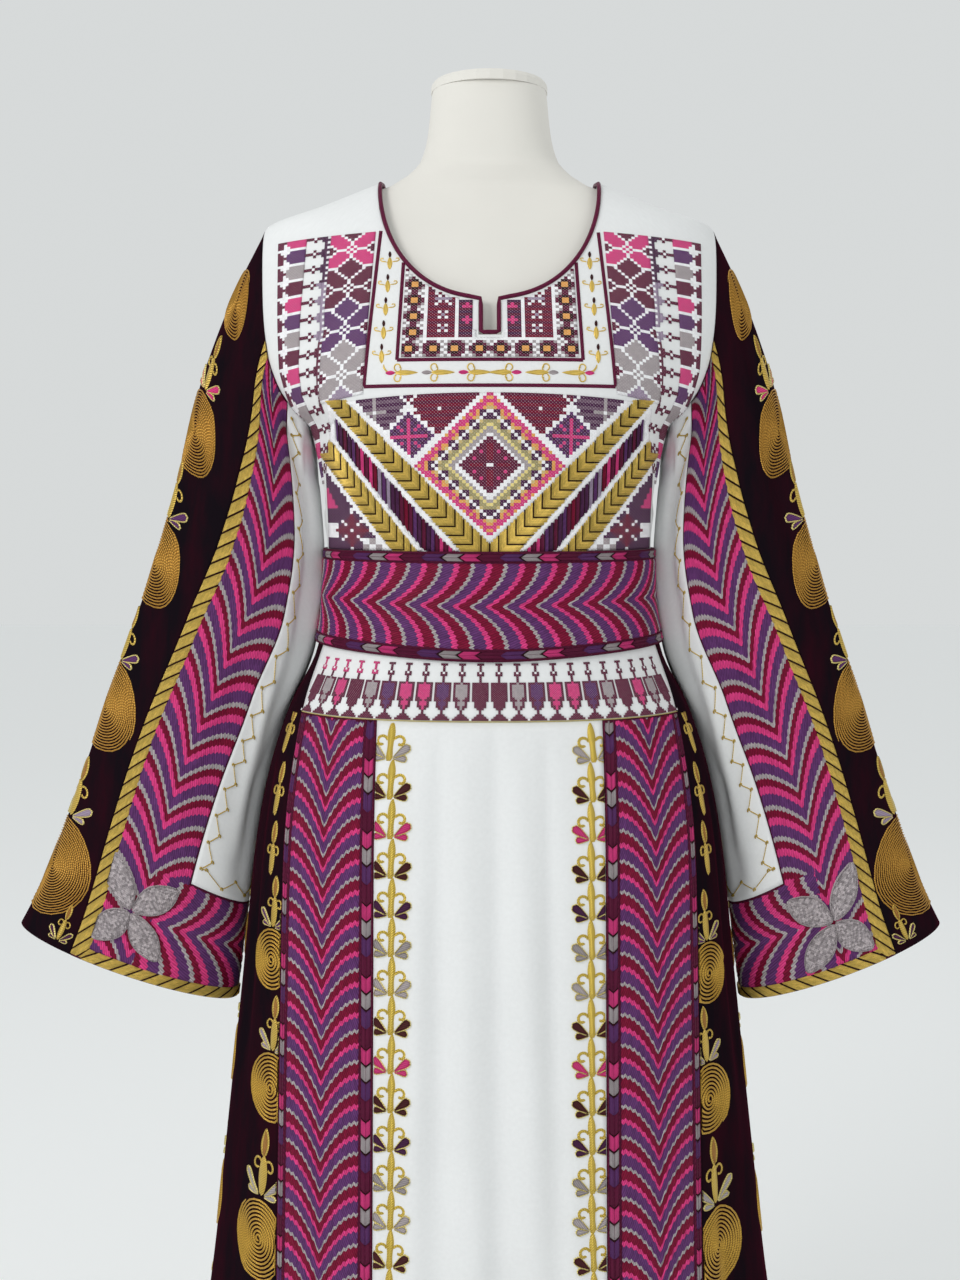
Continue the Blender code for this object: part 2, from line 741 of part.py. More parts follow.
def form_ring(z):
    """Level ring of the dress form, inside the dress and flat where an arm would start."""
    ease = smooth(FORM_EASE, 1, z)
    table_z = z + FORM_DROP
    ring = []
    for degrees in ring_directions(FORM_COLUMNS):
        behind = abs(degrees) > 90
        if z <= FORM_HIPS[-1][0]:
            across, deep = smooth(FORM_HIPS, 1, z), smooth(FORM_HIPS, 3 if behind else 2, z)
        elif z >= FORM_NECK[0][0]:
            across, deep = smooth(FORM_NECK, 1, z), smooth(FORM_NECK, 3 if behind else 2, z)
        else:
            across = half_width(table_z) - ease
            deep = depth(table_z, behind) - FORM_DEPTH_EASE
        radius = section_radius(across, deep, degrees)
        x = radius * math.sin(math.radians(degrees))
        y = -radius * math.cos(math.radians(degrees))
        if UNDERARM_Z < z < SHOULDER_TIP_Z:
            plate = armhole_x(z) - ease
            x = max(-plate, min(plate, x))
        ring.append(Vector((x, y, z)))
    return ring


def build_form(home):
    """Torso with its neck, neck cap, pole and round base."""
    torso_rows = [1.080, 1.130, 1.180, 1.215, 1.235, 1.250, 1.270, 1.300, 1.345, 1.385]
    shoulder_rows = [1.408, 1.420, 1.434, 1.4465]
    heights = [row[0] for row in FORM_HIPS] + torso_rows + shoulder_rows + [row[0] for row in FORM_NECK]
    solid_loft("form_body", [form_ring(z) for z in heights], "form", home)
    cap_foot = NECK_TOP_Z + SEAM
    cap = [(0, NECK_CAP_TOP_Z), (NECK_CAP_RADIUS * 0.8, NECK_CAP_TOP_Z - 0.0006),
           (NECK_CAP_RADIUS * 0.96, NECK_CAP_TOP_Z - 0.003), (NECK_CAP_RADIUS, NECK_CAP_TOP_Z - 0.006),
           (NECK_CAP_RADIUS, cap_foot), (0, cap_foot)]
    turned("form_neck_cap", cap, "form", home)
    pole_foot = HUB_TOP_Z + SEAM
    pole_top = FORM_BOTTOM_Z - SEAM
    bpy.ops.mesh.primitive_cylinder_add(vertices=24, radius=POLE_RADIUS, depth=pole_top - pole_foot,
                                        location=(0, 0, (pole_top + pole_foot) / 2))
    pole = bpy.context.object
    pole.name = "form_pole"
    pole.data.name = "form_pole"
    pole.data.materials.append(material("form_pole", "metal"))
    for collection in list(pole.users_collection):
        collection.objects.unlink(pole)
    home.objects.link(pole)
    base = [(0, HUB_TOP_Z), (HUB_RADIUS * 0.6, HUB_TOP_Z), (HUB_RADIUS * 0.8, HUB_TOP_Z * 0.7),
            (HUB_RADIUS, BASE_RIM + 0.006), (HUB_RADIUS * 1.5, BASE_RIM + 0.001),
            (BASE_RADIUS - 0.006, BASE_RIM), (BASE_RADIUS - 0.0015, BASE_RIM - 0.003),
            (BASE_RADIUS, BASE_RIM * 0.5), (BASE_RADIUS, 0), (0, 0)]
    turned("form_base", base, "metal", home, steps=36)


def main():
    for old in list(bpy.data.objects):
        bpy.data.objects.remove(old, do_unlink=True)
    home = bpy.data.collections.new(COLLECTION)
    bpy.context.scene.collection.children.link(home)
    build_form(home)
    build_bodice(home)
    build_belt(home)
    build_skirt(home)
    build_sleeve("right", home)
    build_sleeve("left", home)


main()
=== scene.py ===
"""An embroidered thobe dress on a limbless dress form: cloth, stitching, floor, light and camera.

Lengths are in metres, +Z is up and the front of the dress faces -Y. The surfaces of the worn cloth
are worked out from the same tables as the solids; the embroidery is laid on them by height and
direction, and on the sleeves by direction and share of their length.
"""
import math

import bmesh
import bpy
import numpy as np
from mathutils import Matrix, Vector


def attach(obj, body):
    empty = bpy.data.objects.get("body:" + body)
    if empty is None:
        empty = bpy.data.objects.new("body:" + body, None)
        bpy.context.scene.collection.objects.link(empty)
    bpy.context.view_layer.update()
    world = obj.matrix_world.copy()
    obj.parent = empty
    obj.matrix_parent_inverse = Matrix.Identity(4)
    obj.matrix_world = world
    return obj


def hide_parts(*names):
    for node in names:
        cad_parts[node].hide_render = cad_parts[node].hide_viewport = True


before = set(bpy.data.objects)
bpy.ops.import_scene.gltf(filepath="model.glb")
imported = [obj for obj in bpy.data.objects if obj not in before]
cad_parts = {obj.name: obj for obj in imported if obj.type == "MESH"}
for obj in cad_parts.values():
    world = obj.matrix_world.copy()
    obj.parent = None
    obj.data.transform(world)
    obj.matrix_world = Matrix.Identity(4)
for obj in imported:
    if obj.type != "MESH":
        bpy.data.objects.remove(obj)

bl_info = {
    "name": "Embroidered thobe dress",
    "version": (1, 0, 0),
    "blender": (4, 5, 0),
    "location": "View3D > Sidebar > Thobe",
    "description": "Builds the cloth and the embroidery of a long thobe dress on its form",
    "category": "Object",
}

RNG = np.random.default_rng(7)

# ---- sizes of the worn dress
SEAM = 0.0003
COTTON_WALL = 0.0015
VELVET_WALL = 0.0018
EMBROIDERED_WALL = 0.0018
STRIP_WALL = 0.0022
BELT_WALL = 0.003
BELT_EASE = 0.0008
STRIP_RAISED = 0.0004
FORM_DEPTH_EASE = 0.008
FORM_DROP = 0.0021

HEM_Z = 0.03
HIP_SEAM_Z = 0.9865
BELT_BOTTOM_Z = 1.036
WAIST_SEAM_Z = 1.085
BELT_TOP_Z = 1.129
BELT_SIDE_RISE = 0.009
UNDERARM_Z = 1.235
SHOULDER_TIP_Z = 1.4107
NECK_POINT_Z = 1.45
NECK_HALF = 0.0965
NECK_BOTTOM_Z = 1.337
NECK_ROUNDNESS = 2.2
BACK_NECK_DROP = 0.012
SLIT_HALF = 0.0095
SLIT_BOTTOM_Z = 1.3075
PIPING_RADIUS = 0.0018
SQUARENESS = 2.3

# height, half width, depth in front, depth behind
SECTIONS = (
    (0.03, 0.315, 0.215, 0.22), (0.25, 0.288, 0.19, 0.196), (0.453, 0.256, 0.17, 0.176),
    (0.6, 0.241, 0.157, 0.162), (0.734, 0.2275, 0.146, 0.15), (0.862, 0.2145, 0.136, 0.137),
    (0.93, 0.201, 0.129, 0.124), (0.988, 0.1815, 0.121, 0.108), (1.036, 0.1575, 0.112, 0.092),
    (1.08, 0.1485, 0.104, 0.08), (1.129, 0.1465, 0.103, 0.078), (1.18, 0.15, 0.113, 0.085),
    (1.235, 0.16, 0.125, 0.093), (1.25, 0.1765, 0.1255, 0.0945), (1.27, 0.193, 0.124, 0.095),
    (1.3, 0.2045, 0.116, 0.0945), (1.34, 0.21, 0.101, 0.092), (1.38, 0.208, 0.085, 0.084),
    (1.4107, 0.199, 0.072, 0.073), (1.43, 0.149, 0.064, 0.066), (1.45, 0.0965, 0.058, 0.06),
    (1.46, 0.0695, 0.055, 0.057),
)
# height, distance from the middle
ARMHOLE = ((1.235, 0.16), (1.24, 0.161), (1.25, 0.1705), (1.27, 0.1835), (1.3, 0.193),
           (1.34, 0.197), (1.38, 0.1985), (1.4107, 0.199))
# height, inner and outer edge of the embroidered skirt band from the middle
BAND_EDGES = ((0.03, 0.11, 0.2), (0.48, 0.1, 0.186), (0.75, 0.0985, 0.183),
              (0.865, 0.098, 0.18), (0.988, 0.0955, 0.1645), (1.085, 0.09, 0.133))
BACK_SEAM_DEG = 128.0
# direction and half width in degrees, depth at the hem, height where it starts
FOLDS = (
    (16, 12, -0.004, 0.7), (-24, 14, -0.005, 0.62), (44, 13, 0.007, 0.8), (-46, 12, 0.006, 0.78),
    (67, 10, -0.013, 0.9), (-68, 11, -0.015, 0.92), (84, 10, 0.016, 0.88), (-85, 9, 0.014, 0.9),
    (101, 10, -0.019, 0.93), (-101, 10, -0.017, 0.9), (117, 9, 0.015, 0.88), (-118, 10, 0.017, 0.91),
    (136, 11, -0.016, 0.94), (-137, 11, -0.018, 0.92), (155, 11, 0.014, 0.9), (-154, 10, 0.012, 0.93),
    (176, 13, -0.015, 0.95),
)
# share of the length, outer edge x and z, inner edge x and z, half depth
SLEEVE = (
    (0.00, 0.199, 1.4107, 0.16, 1.235, 0.047), (0.1, 0.232, 1.347, 0.1565, 1.205, 0.05),
    (0.22, 0.2623, 1.2711, 0.153, 1.1267, 0.05), (0.35, 0.2839, 1.1903, 0.1625, 1.044, 0.049),
    (0.47, 0.3065, 1.113, 0.1925, 0.9696, 0.048), (0.62, 0.341, 1.0162, 0.213, 0.8944, 0.047),
    (0.78, 0.379, 0.9086, 0.2245, 0.8088, 0.046), (0.92, 0.4135, 0.8232, 0.232, 0.7463, 0.045),
    (1.00, 0.4362, 0.78, 0.238, 0.708, 0.045),
)
ARMHOLE_BLEND = 0.3
SLEEVE_REACH = {"left": 1.005, "right": 0.940}
# share of the length, front edge of the velvet, front edge of the feather band, its inner edge
SLEEVE_SEAMS = ((0.00, 82.0, 75.0, 42.0), (0.12, 86.0, 79.0, 44.0), (0.25, 98.0, 91.0, 47.0),
                (0.5, 110.0, 103.0, 50.0), (0.77, 119.0, 112.0, 63.0), (1.00, 116.0, 109.0, 67.0))
VELVET_BACK_DEG = 255.0
CUFF_TOP = 0.8
HEM_EDGE_TOP = 0.984
SLEEVE_LENGTH = 0.69
# dress form: height, half width, depth in front, depth behind
FORM_HIPS = ((0.8, 0.14, 0.084, 0.084), (0.806, 0.15, 0.096, 0.094), (0.83, 0.16, 0.106, 0.102),
             (0.9, 0.168, 0.112, 0.106), (0.97, 0.162, 0.11, 0.098), (1.036, 0.1535, 0.108, 0.088))
FORM_EASE = ((1.036, 0.004), (1.18, 0.004), (1.215, 0.009), (1.27, 0.01), (1.32, 0.007),
             (1.385, 0.004), (1.406, 0.0021), (1.43, 0.0021), (1.447, 0.01))
FORM_NECK = ((1.456, 0.074, 0.053, 0.055), (1.468, 0.062, 0.05, 0.053),
             (1.49, 0.055, 0.0485, 0.051), (1.529, 0.0505, 0.0475, 0.049))

# Soft creases of the cloth: start and end (direction in degrees, height), half width, depth
DRESS_CREASES = (
    ((-19, 0.965), (-13, 0.42), 0.013, -0.005), ((-9, 0.95), (-6, 0.34), 0.018, 0.0042),
    ((2, 0.975), (4, 0.4), 0.014, -0.0046), ((11, 0.94), (15, 0.38), 0.017, 0.0046),
    ((21, 0.965), (20, 0.5), 0.011, -0.004), ((-24, 0.84), (-21, 0.28), 0.012, 0.0036),
    ((-3, 0.6), (-1, 0.12), 0.015, 0.0044), ((-15, 0.5), (-17, 0.08), 0.016, -0.0048),
    ((9, 0.52), (8, 0.1), 0.014, -0.004), ((24, 0.6), (26, 0.15), 0.012, 0.0036),
    ((-94, 1.215), (-82, 1.165), 0.009, -0.0046), ((-88, 1.18), (-80, 1.142), 0.007, 0.0024),
    ((93, 1.212), (81, 1.163), 0.009, -0.0044), ((88, 1.182), (79, 1.145), 0.007, 0.0022),
    ((-54, 1.33), (-66, 1.29), 0.009, -0.0022), ((55, 1.325), (67, 1.286), 0.009, -0.002),
    ((-150, 1.3), (-128, 1.12), 0.016, -0.006), ((150, 1.31), (131, 1.13), 0.015, -0.0054),
    ((-170, 1.24), (-158, 1.14), 0.014, 0.0042), ((172, 1.22), (160, 1.14), 0.013, 0.004),
    ((-145, 0.95), (-150, 0.35), 0.017, 0.006), ((148, 0.94), (143, 0.4), 0.018, -0.0056),
    ((170, 0.93), (166, 0.3), 0.015, 0.0054), ((-168, 0.92), (-171, 0.38), 0.016, -0.0054),
    ((-78, 0.93), (-76, 0.6), 0.009, -0.005), ((77, 0.92), (79, 0.58), 0.009, -0.0046),
    ((-93, 0.9), (-95, 0.45), 0.011, -0.0062), ((94, 0.91), (92, 0.5), 0.011, -0.0058),
    ((-108, 0.96), (-104, 0.5), 0.012, 0.005), ((107, 0.95), (110, 0.46), 0.012, 0.0052),
    ((-66, 0.6), (-70, 0.2), 0.012, 0.004), ((65, 0.58), (68, 0.18), 0.012, -0.004),
)
DRESS_METRES_PER_DEGREE = 0.0032
# Sleeve creases: start and end (degrees round, share of the length), half width, depth
SLEEVE_CREASES = (
    ((22, 0.06), (36, 0.42), 0.009, -0.006), ((6, 0.14), (20, 0.56), 0.01, 0.0052),
    ((46, 0.05), (24, 0.24), 0.008, -0.0052), ((-6, 0.22), (-8, 0.78), 0.018, 0.0046),
    ((38, 0.34), (30, 0.7), 0.009, 0.004), ((16, 0.46), (26, 0.8), 0.01, -0.003),
    ((-42, 0.16), (-50, 0.7), 0.012, 0.0054), ((-75, 0.12), (-78, 0.6), 0.011, -0.0056),
    ((128, 0.08), (137, 0.5), 0.011, -0.0034), ((150, 0.3), (159, 0.9), 0.013, 0.004),
    ((176, 0.12), (171, 0.6), 0.012, -0.0036), ((205, 0.18), (213, 0.85), 0.013, -0.0056),
    ((232, 0.14), (227, 0.75), 0.012, 0.005), ((186, 0.6), (191, 0.98), 0.012, -0.0038),
    ((58, 0.26), (67, 0.62), 0.013, -0.0026), ((74, 0.46), (86, 0.88), 0.014, 0.0026),
    ((92, 0.2), (84, 0.44), 0.012, -0.0024),
)
SLEEVE_METRES_PER_DEGREE = 0.0013


# ---- surfaces
def smooth(table, column, at):
    """Reads a column of a table on a smooth curve that never overshoots its rows."""
    rows = np.array(table, float)
    xs, ys = rows[:, 0], rows[:, column]
    steps = np.diff(xs)
    slopes = np.diff(ys) / steps
    product, total = slopes[:-1] * slopes[1:], slopes[:-1] + slopes[1:]
    middle = np.where(product > 0, 2 * product / np.where(total == 0, 1, total), 0.0)
    tangents = np.concatenate([slopes[:1], middle, slopes[-1:]])
    at = np.clip(np.asarray(at, float), xs[0], xs[-1])
    i = np.clip(np.searchsorted(xs, at, side="right") - 1, 0, len(steps) - 1)
    u = (at - xs[i]) / steps[i]
    rise = (3 - 2 * u) * u * u
    bow = steps[i] * (tangents[i] * u * (1 - u) ** 2 + tangents[i + 1] * u * u * (u - 1))
    return ys[i] * (1 - rise) + ys[i + 1] * rise + bow


def depth(z, behind):
    return np.where(behind, smooth(SECTIONS, 3, z), smooth(SECTIONS, 2, z))


def fold(z, deg):
    """Distance that the folds push the skirt out."""
    push = np.zeros(np.broadcast(z, deg).shape)
    for middle, half, at_hem, start in FOLDS:
        away = (deg - middle + 180) % 360 - 180
        growth = np.clip((start - z) / (start - HEM_Z), 0, None)
        wave = np.where(np.abs(away) < half, np.cos(math.pi / 2 * away / half) ** 2, 0)
        push += at_hem * growth ** 1.3 * wave
    return push


def ring_radius(across, ahead, deg):
    """Radius of a level section with squared corners."""
    side = np.abs(np.sin(np.radians(deg))) / across
    front = np.abs(np.cos(np.radians(deg))) / ahead
    return (side ** SQUARENESS + front ** SQUARENESS) ** (-1 / SQUARENESS)


def stack(x, y, z):
    return np.stack(np.broadcast_arrays(x, y, z), axis=-1)


def dress_skin(z, deg):
    """Points on the plain outside of the dress."""
    behind = np.cos(np.radians(deg)) < 0
    radius = ring_radius(smooth(SECTIONS, 1, z), depth(z, behind), deg) + fold(z, deg)
    return stack(radius * np.sin(np.radians(deg)), -radius * np.cos(np.radians(deg)), z)


def unit(vectors):
    return vectors / np.maximum(np.linalg.norm(vectors, axis=-1, keepdims=True), 1e-12)


def creased(a, b, creases):
    """Height of the creases at places (a, b) in metres; each is a soft trough or ridge that dies away."""
    height = np.zeros(np.broadcast(a, b).shape)
    for (a0, b0), (a1, b1), half, deep in creases:
        run = np.array([a1 - a0, b1 - b0])
        length = float(run @ run)
        share = np.clip(((a - a0) * run[0] + (b - b0) * run[1]) / length, 0, 1)
        away = np.hypot(a - a0 - share * run[0], b - b0 - share * run[1])
        width = half * (0.75 + 0.5 * share)
        height += deep * np.exp(-(away / width) ** 2) * np.sin(math.pi * (0.12 + 0.76 * share))
    return height


def in_metres(creases, per_degree, per_step):
    return [((a0 * per_degree, b0 * per_step), (a1 * per_degree, b1 * per_step), half, deep)
            for (a0, b0), (a1, b1), half, deep in creases]


DRESS_LINES = in_metres(DRESS_CREASES, DRESS_METRES_PER_DEGREE, 1.0)
SLEEVE_LINES = in_metres(SLEEVE_CREASES, SLEEVE_METRES_PER_DEGREE, SLEEVE_LENGTH)


def dress(z, deg, out=0.0):
    """Points of the worn dress with its creases, moved straight out of the surface."""
    z, deg = np.asarray(z, float), np.asarray(deg, float)
    turn = dress_skin(z, deg + 0.5) - dress_skin(z, deg - 0.5)
    rise = dress_skin(z + 0.001, deg) - dress_skin(z - 0.001, deg)
    turned = (deg + 180) % 360 - 180
    lift = creased(turned * DRESS_METRES_PER_DEGREE, z, DRESS_LINES)
    lift = np.where((z < BELT_TOP_Z + 0.012) & (z > BELT_BOTTOM_Z - 0.02), 0.0, lift)
    return dress_skin(z, deg) + unit(np.cross(turn, rise)) * (np.asarray(out) + lift)[..., None]


def direction_of(x, z, behind=False):
    """Direction in which the surface is at a distance from the middle."""
    share = np.minimum(np.abs(x) / smooth(SECTIONS, 1, z), 1.0)
    ahead = depth(z, behind) * (1 - share ** SQUARENESS) ** (1 / SQUARENESS)
    deg = np.degrees(np.arctan2(np.abs(x), ahead))
    return np.copysign(180 - deg if behind else deg, x)


def chest(x, z, out=0.0):
    """Points of the front of the dress by distance from the middle and height."""
    return dress(z, direction_of(x, z), out)


def armhole_x(z):
    return np.where(z <= UNDERARM_Z, smooth(SECTIONS, 1, z), smooth(ARMHOLE, 1, z))


def armhole_z(turn):
    """Heights round the armhole, from the underarm at 0 to the shoulder tip at pi."""
    return (SHOULDER_TIP_Z + UNDERARM_Z) / 2 - (SHOULDER_TIP_Z - UNDERARM_Z) / 2 * np.cos(turn)


def armhole_ring():
    """The armhole as a table: degrees round it, x, y, z."""
    deg = np.linspace(0, 360, 97)
    z = armhole_z(np.radians(deg))
    x = armhole_x(z)
    front = dress_skin(z, direction_of(x, z))[:, 1]
    behind = dress_skin(z, direction_of(x, z, True))[:, 1]
    return deg, x, np.where(deg > 180, behind, front), z


RING_DEG, RING_X, RING_Y, RING_Z = armhole_ring()


def oval(deg, share, reach):
    shoulder_x = SLEEVE[0][1]
    outer_x = shoulder_x + (smooth(SLEEVE, 1, share) - shoulder_x) * reach
    outer_z, inner_x, inner_z = (smooth(SLEEVE, k, share) for k in (2, 3, 4))
    turn, swing = np.cos(np.radians(deg)), np.sin(np.radians(deg))
    x = (outer_x + inner_x) / 2 + (inner_x - outer_x) / 2 * turn
    z = (outer_z + inner_z) / 2 + (inner_z - outer_z) / 2 * turn
    return stack(x, -smooth(SLEEVE, 5, share) * swing, z)


def sleeve_skin(deg, share, reach):
    """Points on the plain outside of a sleeve at +X."""
    turned = np.asarray(deg, float) % 360
    ring = stack(*(np.interp(turned, RING_DEG, t) for t in (RING_X, RING_Y, RING_Z)))
    u = np.clip(np.asarray(share) / ARMHOLE_BLEND, 0, 1)
    keep = 1 - (3 - 2 * u) * u * u
    return oval(deg, share, reach) + (ring - oval(deg, 0.0, reach)) * keep[..., None]


def sleeve(side):
    """The surface of one sleeve: degrees round it (180 is the outer edge, 90 the front), share, out."""
    reach = SLEEVE_REACH[side]
    flip = np.array([-1.0 if side == "left" else 1.0, 1.0, 1.0])

    def place(deg, share, out=0.0):
        deg, share = np.broadcast_arrays(np.asarray(deg, float), np.asarray(share, float))
        turn = sleeve_skin(deg + 2, share, reach) - sleeve_skin(deg - 2, share, reach)
        low = np.maximum(share - 0.004, 0.0)
        along = sleeve_skin(deg, share + 0.004, reach) - sleeve_skin(deg, low, reach)
        turned = (deg + 105) % 360 - 105
        lift = creased(turned * SLEEVE_METRES_PER_DEGREE, share * SLEEVE_LENGTH, SLEEVE_LINES)
        lift = lift * np.clip(share / 0.08, 0, 1)
        point = sleeve_skin(deg, share, reach) + unit(np.cross(along, turn)) * (out + lift)[..., None]
        near = share < ARMHOLE_BLEND
        cut = armhole_x(np.minimum(point[..., 2], SHOULDER_TIP_Z)) + SEAM
        point[..., 0] = np.where(near, np.maximum(point[..., 0], cut), point[..., 0])
        return point * flip
    return place


# ---- meshes
_grids = {}
CLOTH_WELD = 1e-5
PIPING_WELD = 1e-6
STITCH_WALL = 0.0008


def unit_grid(columns, rows):
    """Places (u across, v along) and faces of a plain grid from 0 to 1."""
    if (columns, rows) not in _grids:
        bm = bmesh.new()
        bmesh.ops.create_grid(bm, x_segments=columns, y_segments=rows, size=0.5)
        places = np.array([v.co[:2] for v in bm.verts]) + 0.5
        faces = np.array([[v.index for v in f.verts] for f in bm.faces])
        bm.free()
        _grids[columns, rows] = places[:, 0], places[:, 1], faces
    return _grids[columns, rows]


def step(share, count):
    """The whole step that a share from 0 to 1 is at, in a number of steps."""
    return np.rint(share * count).astype(int)


def middle_of_dress(points):
    return points * np.array([0.0, 0.0, 1.0])


def middle_of_sleeve(side):
    """The middle line of a sleeve, nearest to each point by height."""
    rows = np.array(SLEEVE)
    x = (rows[:, 1] + rows[:, 3]) / 2 * (-1 if side == "left" else 1)
    z = (rows[:, 2] + rows[:, 4]) / 2
    share = np.linspace(0, 1, 60)
    line = np.stack([np.interp(share, rows[:, 0], x), 0 * share, np.interp(share, rows[:, 0], z)], 1)

    def core(points):
        away = ((points[:, None, :] - line[None, :, :]) ** 2).sum(2)
        return line[away.argmin(1)]
    return core


def placed(name, data):
    """A new object in the scene."""
    made = bpy.data.objects.new(name, data)
    bpy.context.scene.collection.objects.link(made)
    return made


class Patchwork:
    """Patches of one piece: grids bent to their places, which become one mesh."""

    def __init__(self, core=middle_of_dress):
        self.core, self.count = core, 0
        self.points, self.faces, self.colours, self.uvs = [], [], [], []

    def patch(self, columns, rows, place, colour, uv=None):
        """place(u, v) gives points. colour is a colour, or colour(u, v) of face middles with NaN for none."""
        u, v, faces = unit_grid(columns, rows)
        points = place(u, v)
        uvs = np.stack([u, v], 1) if uv is None else np.stack(uv(u, v), 1)
        if callable(colour):
            colours = colour(u[faces].mean(1), v[faces].mean(1))
        else:
            colours = np.tile(np.asarray(colour, float), (len(faces), 1))
        corners = points[faces]
        normals = np.cross(corners[:, 2] - corners[:, 0], corners[:, 3] - corners[:, 1])
        keep = ~np.isnan(colours[:, 0]) & (np.linalg.norm(normals, axis=1) > 2e-10)
        if not keep.any():
            return
        faces, colours, corners, normals = faces[keep], colours[keep], corners[keep], normals[keep]
        face_uvs = uvs[faces]
        middles = corners.mean(1)
        some = slice(None, None, max(1, len(middles) // 60))
        if (normals[some] * (middles[some] - self.core(middles[some]))).sum() < 0:
            faces, face_uvs = faces[:, ::-1], face_uvs[:, ::-1]
        used, packed = np.unique(faces, return_inverse=True)
        self.points.append(points[used])
        self.faces.append(packed.reshape(-1, 4) + self.count)
        self.colours.append(colours)
        self.uvs.append(face_uvs)
        self.count += len(used)

    def ribbon(self, surface, a, b, half, colour, height=0.001, across=2, edge=-0.0003):
        """A raised stitched line on surface(a, b, out) through places (a, b), half wide to each side."""
        a, b = np.asarray(a, float), np.asarray(b, float)
        half = np.broadcast_to(half, a.shape)
        run_a, run_b = np.gradient(a), np.gradient(b)
        length = np.maximum(np.hypot(run_a, run_b), 1e-12)
        side_a, side_b = -run_b / length, run_a / length
        steps = len(a) - 1
        travelled = np.concatenate([[0], np.cumsum(np.hypot(np.diff(a), np.diff(b)))])

        def place(u, v):
            k = step(v, steps)
            off = (2 * u - 1) * half[k]
            out = edge + (height - edge) * np.sqrt(np.clip(1 - (2 * u - 1) ** 2, 0, 1))
            out = np.where((k == 0) | (k == steps), edge, out)
            return surface(a[k] + side_a[k] * off, b[k] + side_b[k] * off, out)

        def uv(u, v):
            k = step(v, steps)
            return (2 * u - 1) * half[k], travelled[k]
        self.patch(across, steps, place, colour, uv)

    def finish(self, name, finish_name, slot):
        """Makes the mesh and its object, in a named finish."""
        mesh = bpy.data.meshes.new(name)
        faces = np.concatenate(self.faces)
        mesh.from_pydata(np.concatenate(self.points).tolist(), [], faces.tolist())
        mesh.uv_layers.new(name="UVMap").data.foreach_set(
            "uv", np.concatenate(self.uvs).astype(np.float32).ravel())
        colours = np.repeat(np.concatenate(self.colours), 4, axis=0)
        thread = mesh.color_attributes.new("thread", "FLOAT_COLOR", "CORNER")
        rgba = np.concatenate([colours, np.ones((len(colours), 1))], 1)
        thread.data.foreach_set("color", rgba.astype(np.float32).ravel())
        mesh.polygons.foreach_set("use_smooth", np.ones(len(faces), bool))
        mesh.materials.append(finish(finish_name))
        mesh.update()
        made = placed(name, mesh)
        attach(made, "root")
        return made


def thicken(made, wall):
    """Gives a sheet its wall, behind its outside."""
    solid = made.modifiers.new("Wall", "SOLIDIFY")
    solid.thickness, solid.offset = wall, -1


def weld(made, distance, close=False):
    """Joins the doubled points of a mesh; close also fills its open ends."""
    bm = bmesh.new()
    bm.from_mesh(made.data)
    bmesh.ops.remove_doubles(bm, verts=bm.verts, dist=distance)
    if close:
        bmesh.ops.holes_fill(bm, edges=[e for e in bm.edges if e.is_boundary], sides=0)
        bmesh.ops.recalc_face_normals(bm, faces=bm.faces)
    bm.to_mesh(made.data)
    bm.free()


def cloth(name, place, columns, rows, wall, finish_name, slot, nodes, core=None):
    """A panel of cloth on its surface, with a wall behind it, UVs in metres and its cut size."""
    work = Patchwork(core or middle_of_dress)
    u, v = np.meshgrid(np.linspace(0, 1, columns + 1), np.linspace(0, 1, rows + 1))
    points = place(u.ravel(), v.ravel()).reshape(rows + 1, columns + 1, 3)
    across, down = (np.linalg.norm(np.diff(points, axis=k), axis=2) for k in (1, 0))
    from_left = np.concatenate([np.zeros((rows + 1, 1)), np.cumsum(across, 1)], 1)
    from_left -= from_left[:, columns // 2:columns // 2 + 1]
    from_top = np.concatenate([[0], np.cumsum(down.mean(1))])

    def uv(u, v):
        i = step(v, rows)
        return from_left[i, step(u, columns)], from_top[i]
    work.patch(columns, rows, place, (1, 1, 1), uv)
    made = work.finish(name, finish_name, slot)
    thicken(made, wall)
    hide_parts(*nodes)
    return made


# ---- colours and finishes
def linear(code):
    """Linear colour of a six-digit sRGB code."""
    parts = [int(code[k:k + 2], 16) / 255 for k in (0, 2, 4)]
    return tuple(p / 12.92 if p < 0.04045 else ((p + 0.055) / 1.055) ** 2.4 for p in parts)


COLOURS = {
    "cotton": ("E9EAEA", "White cotton of the dress"),
    "stitched_white": ("F2F2F4", "White cross stitch"),
    "burgundy": ("5F1A38", "Burgundy thread"),
    "dark_red": ("74102F", "Dark red thread of the feathers"),
    "pink": ("CF3C7A", "Pink thread"),
    "purple": ("5B3264", "Purple thread"),
    "plum": ("4A2446", "Dark purple thread"),
    "grey": ("A39A9C", "Grey thread"),
    "lavender": ("9B8AA0", "Pale lavender thread"),
    "outline": ("2E1214", "Near-black outline thread"),
    "gold": ("D3B35A", "Gold thread"),
    "pale_gold": ("E6D488", "Pale gold outline thread"),
    "amber": ("E0A055", "Amber centres"),
    "moss": ("A0966A", "Grey-green thread"),
    "tan": ("CDB67A", "Tan thread"),
    "dusk": ("6E5568", "Dull purple-grey thread"),
    "velvet": ("120D12", "Black velvet"),
    # velvet_sheen tints the velvet's real sheen, and is also mixed into its colour in patches as a painted
    # sheen
    "velvet_sheen": ("6A1630", "Maroon bloom of the velvet"),
    "form": ("E6E3DC", "Jersey cover of the form"),
    "steel": ("B9BABC", "Satin steel of the stand"),
    "linen": ("DDD2D6", "Light cloth that shows between cross stitches"),
    "knot_shade": ("55505A", "Shade between the knots of the cuff flowers"),
    "floor": ("FDFEFE", "Studio floor"),
}


def colour_property(key):
    code, words = COLOURS[key]
    return bpy.props.FloatVectorProperty(name=words, description=f"{words}, linear", subtype="COLOR",
                                         size=3, min=0.0, max=1.0, default=linear(code))


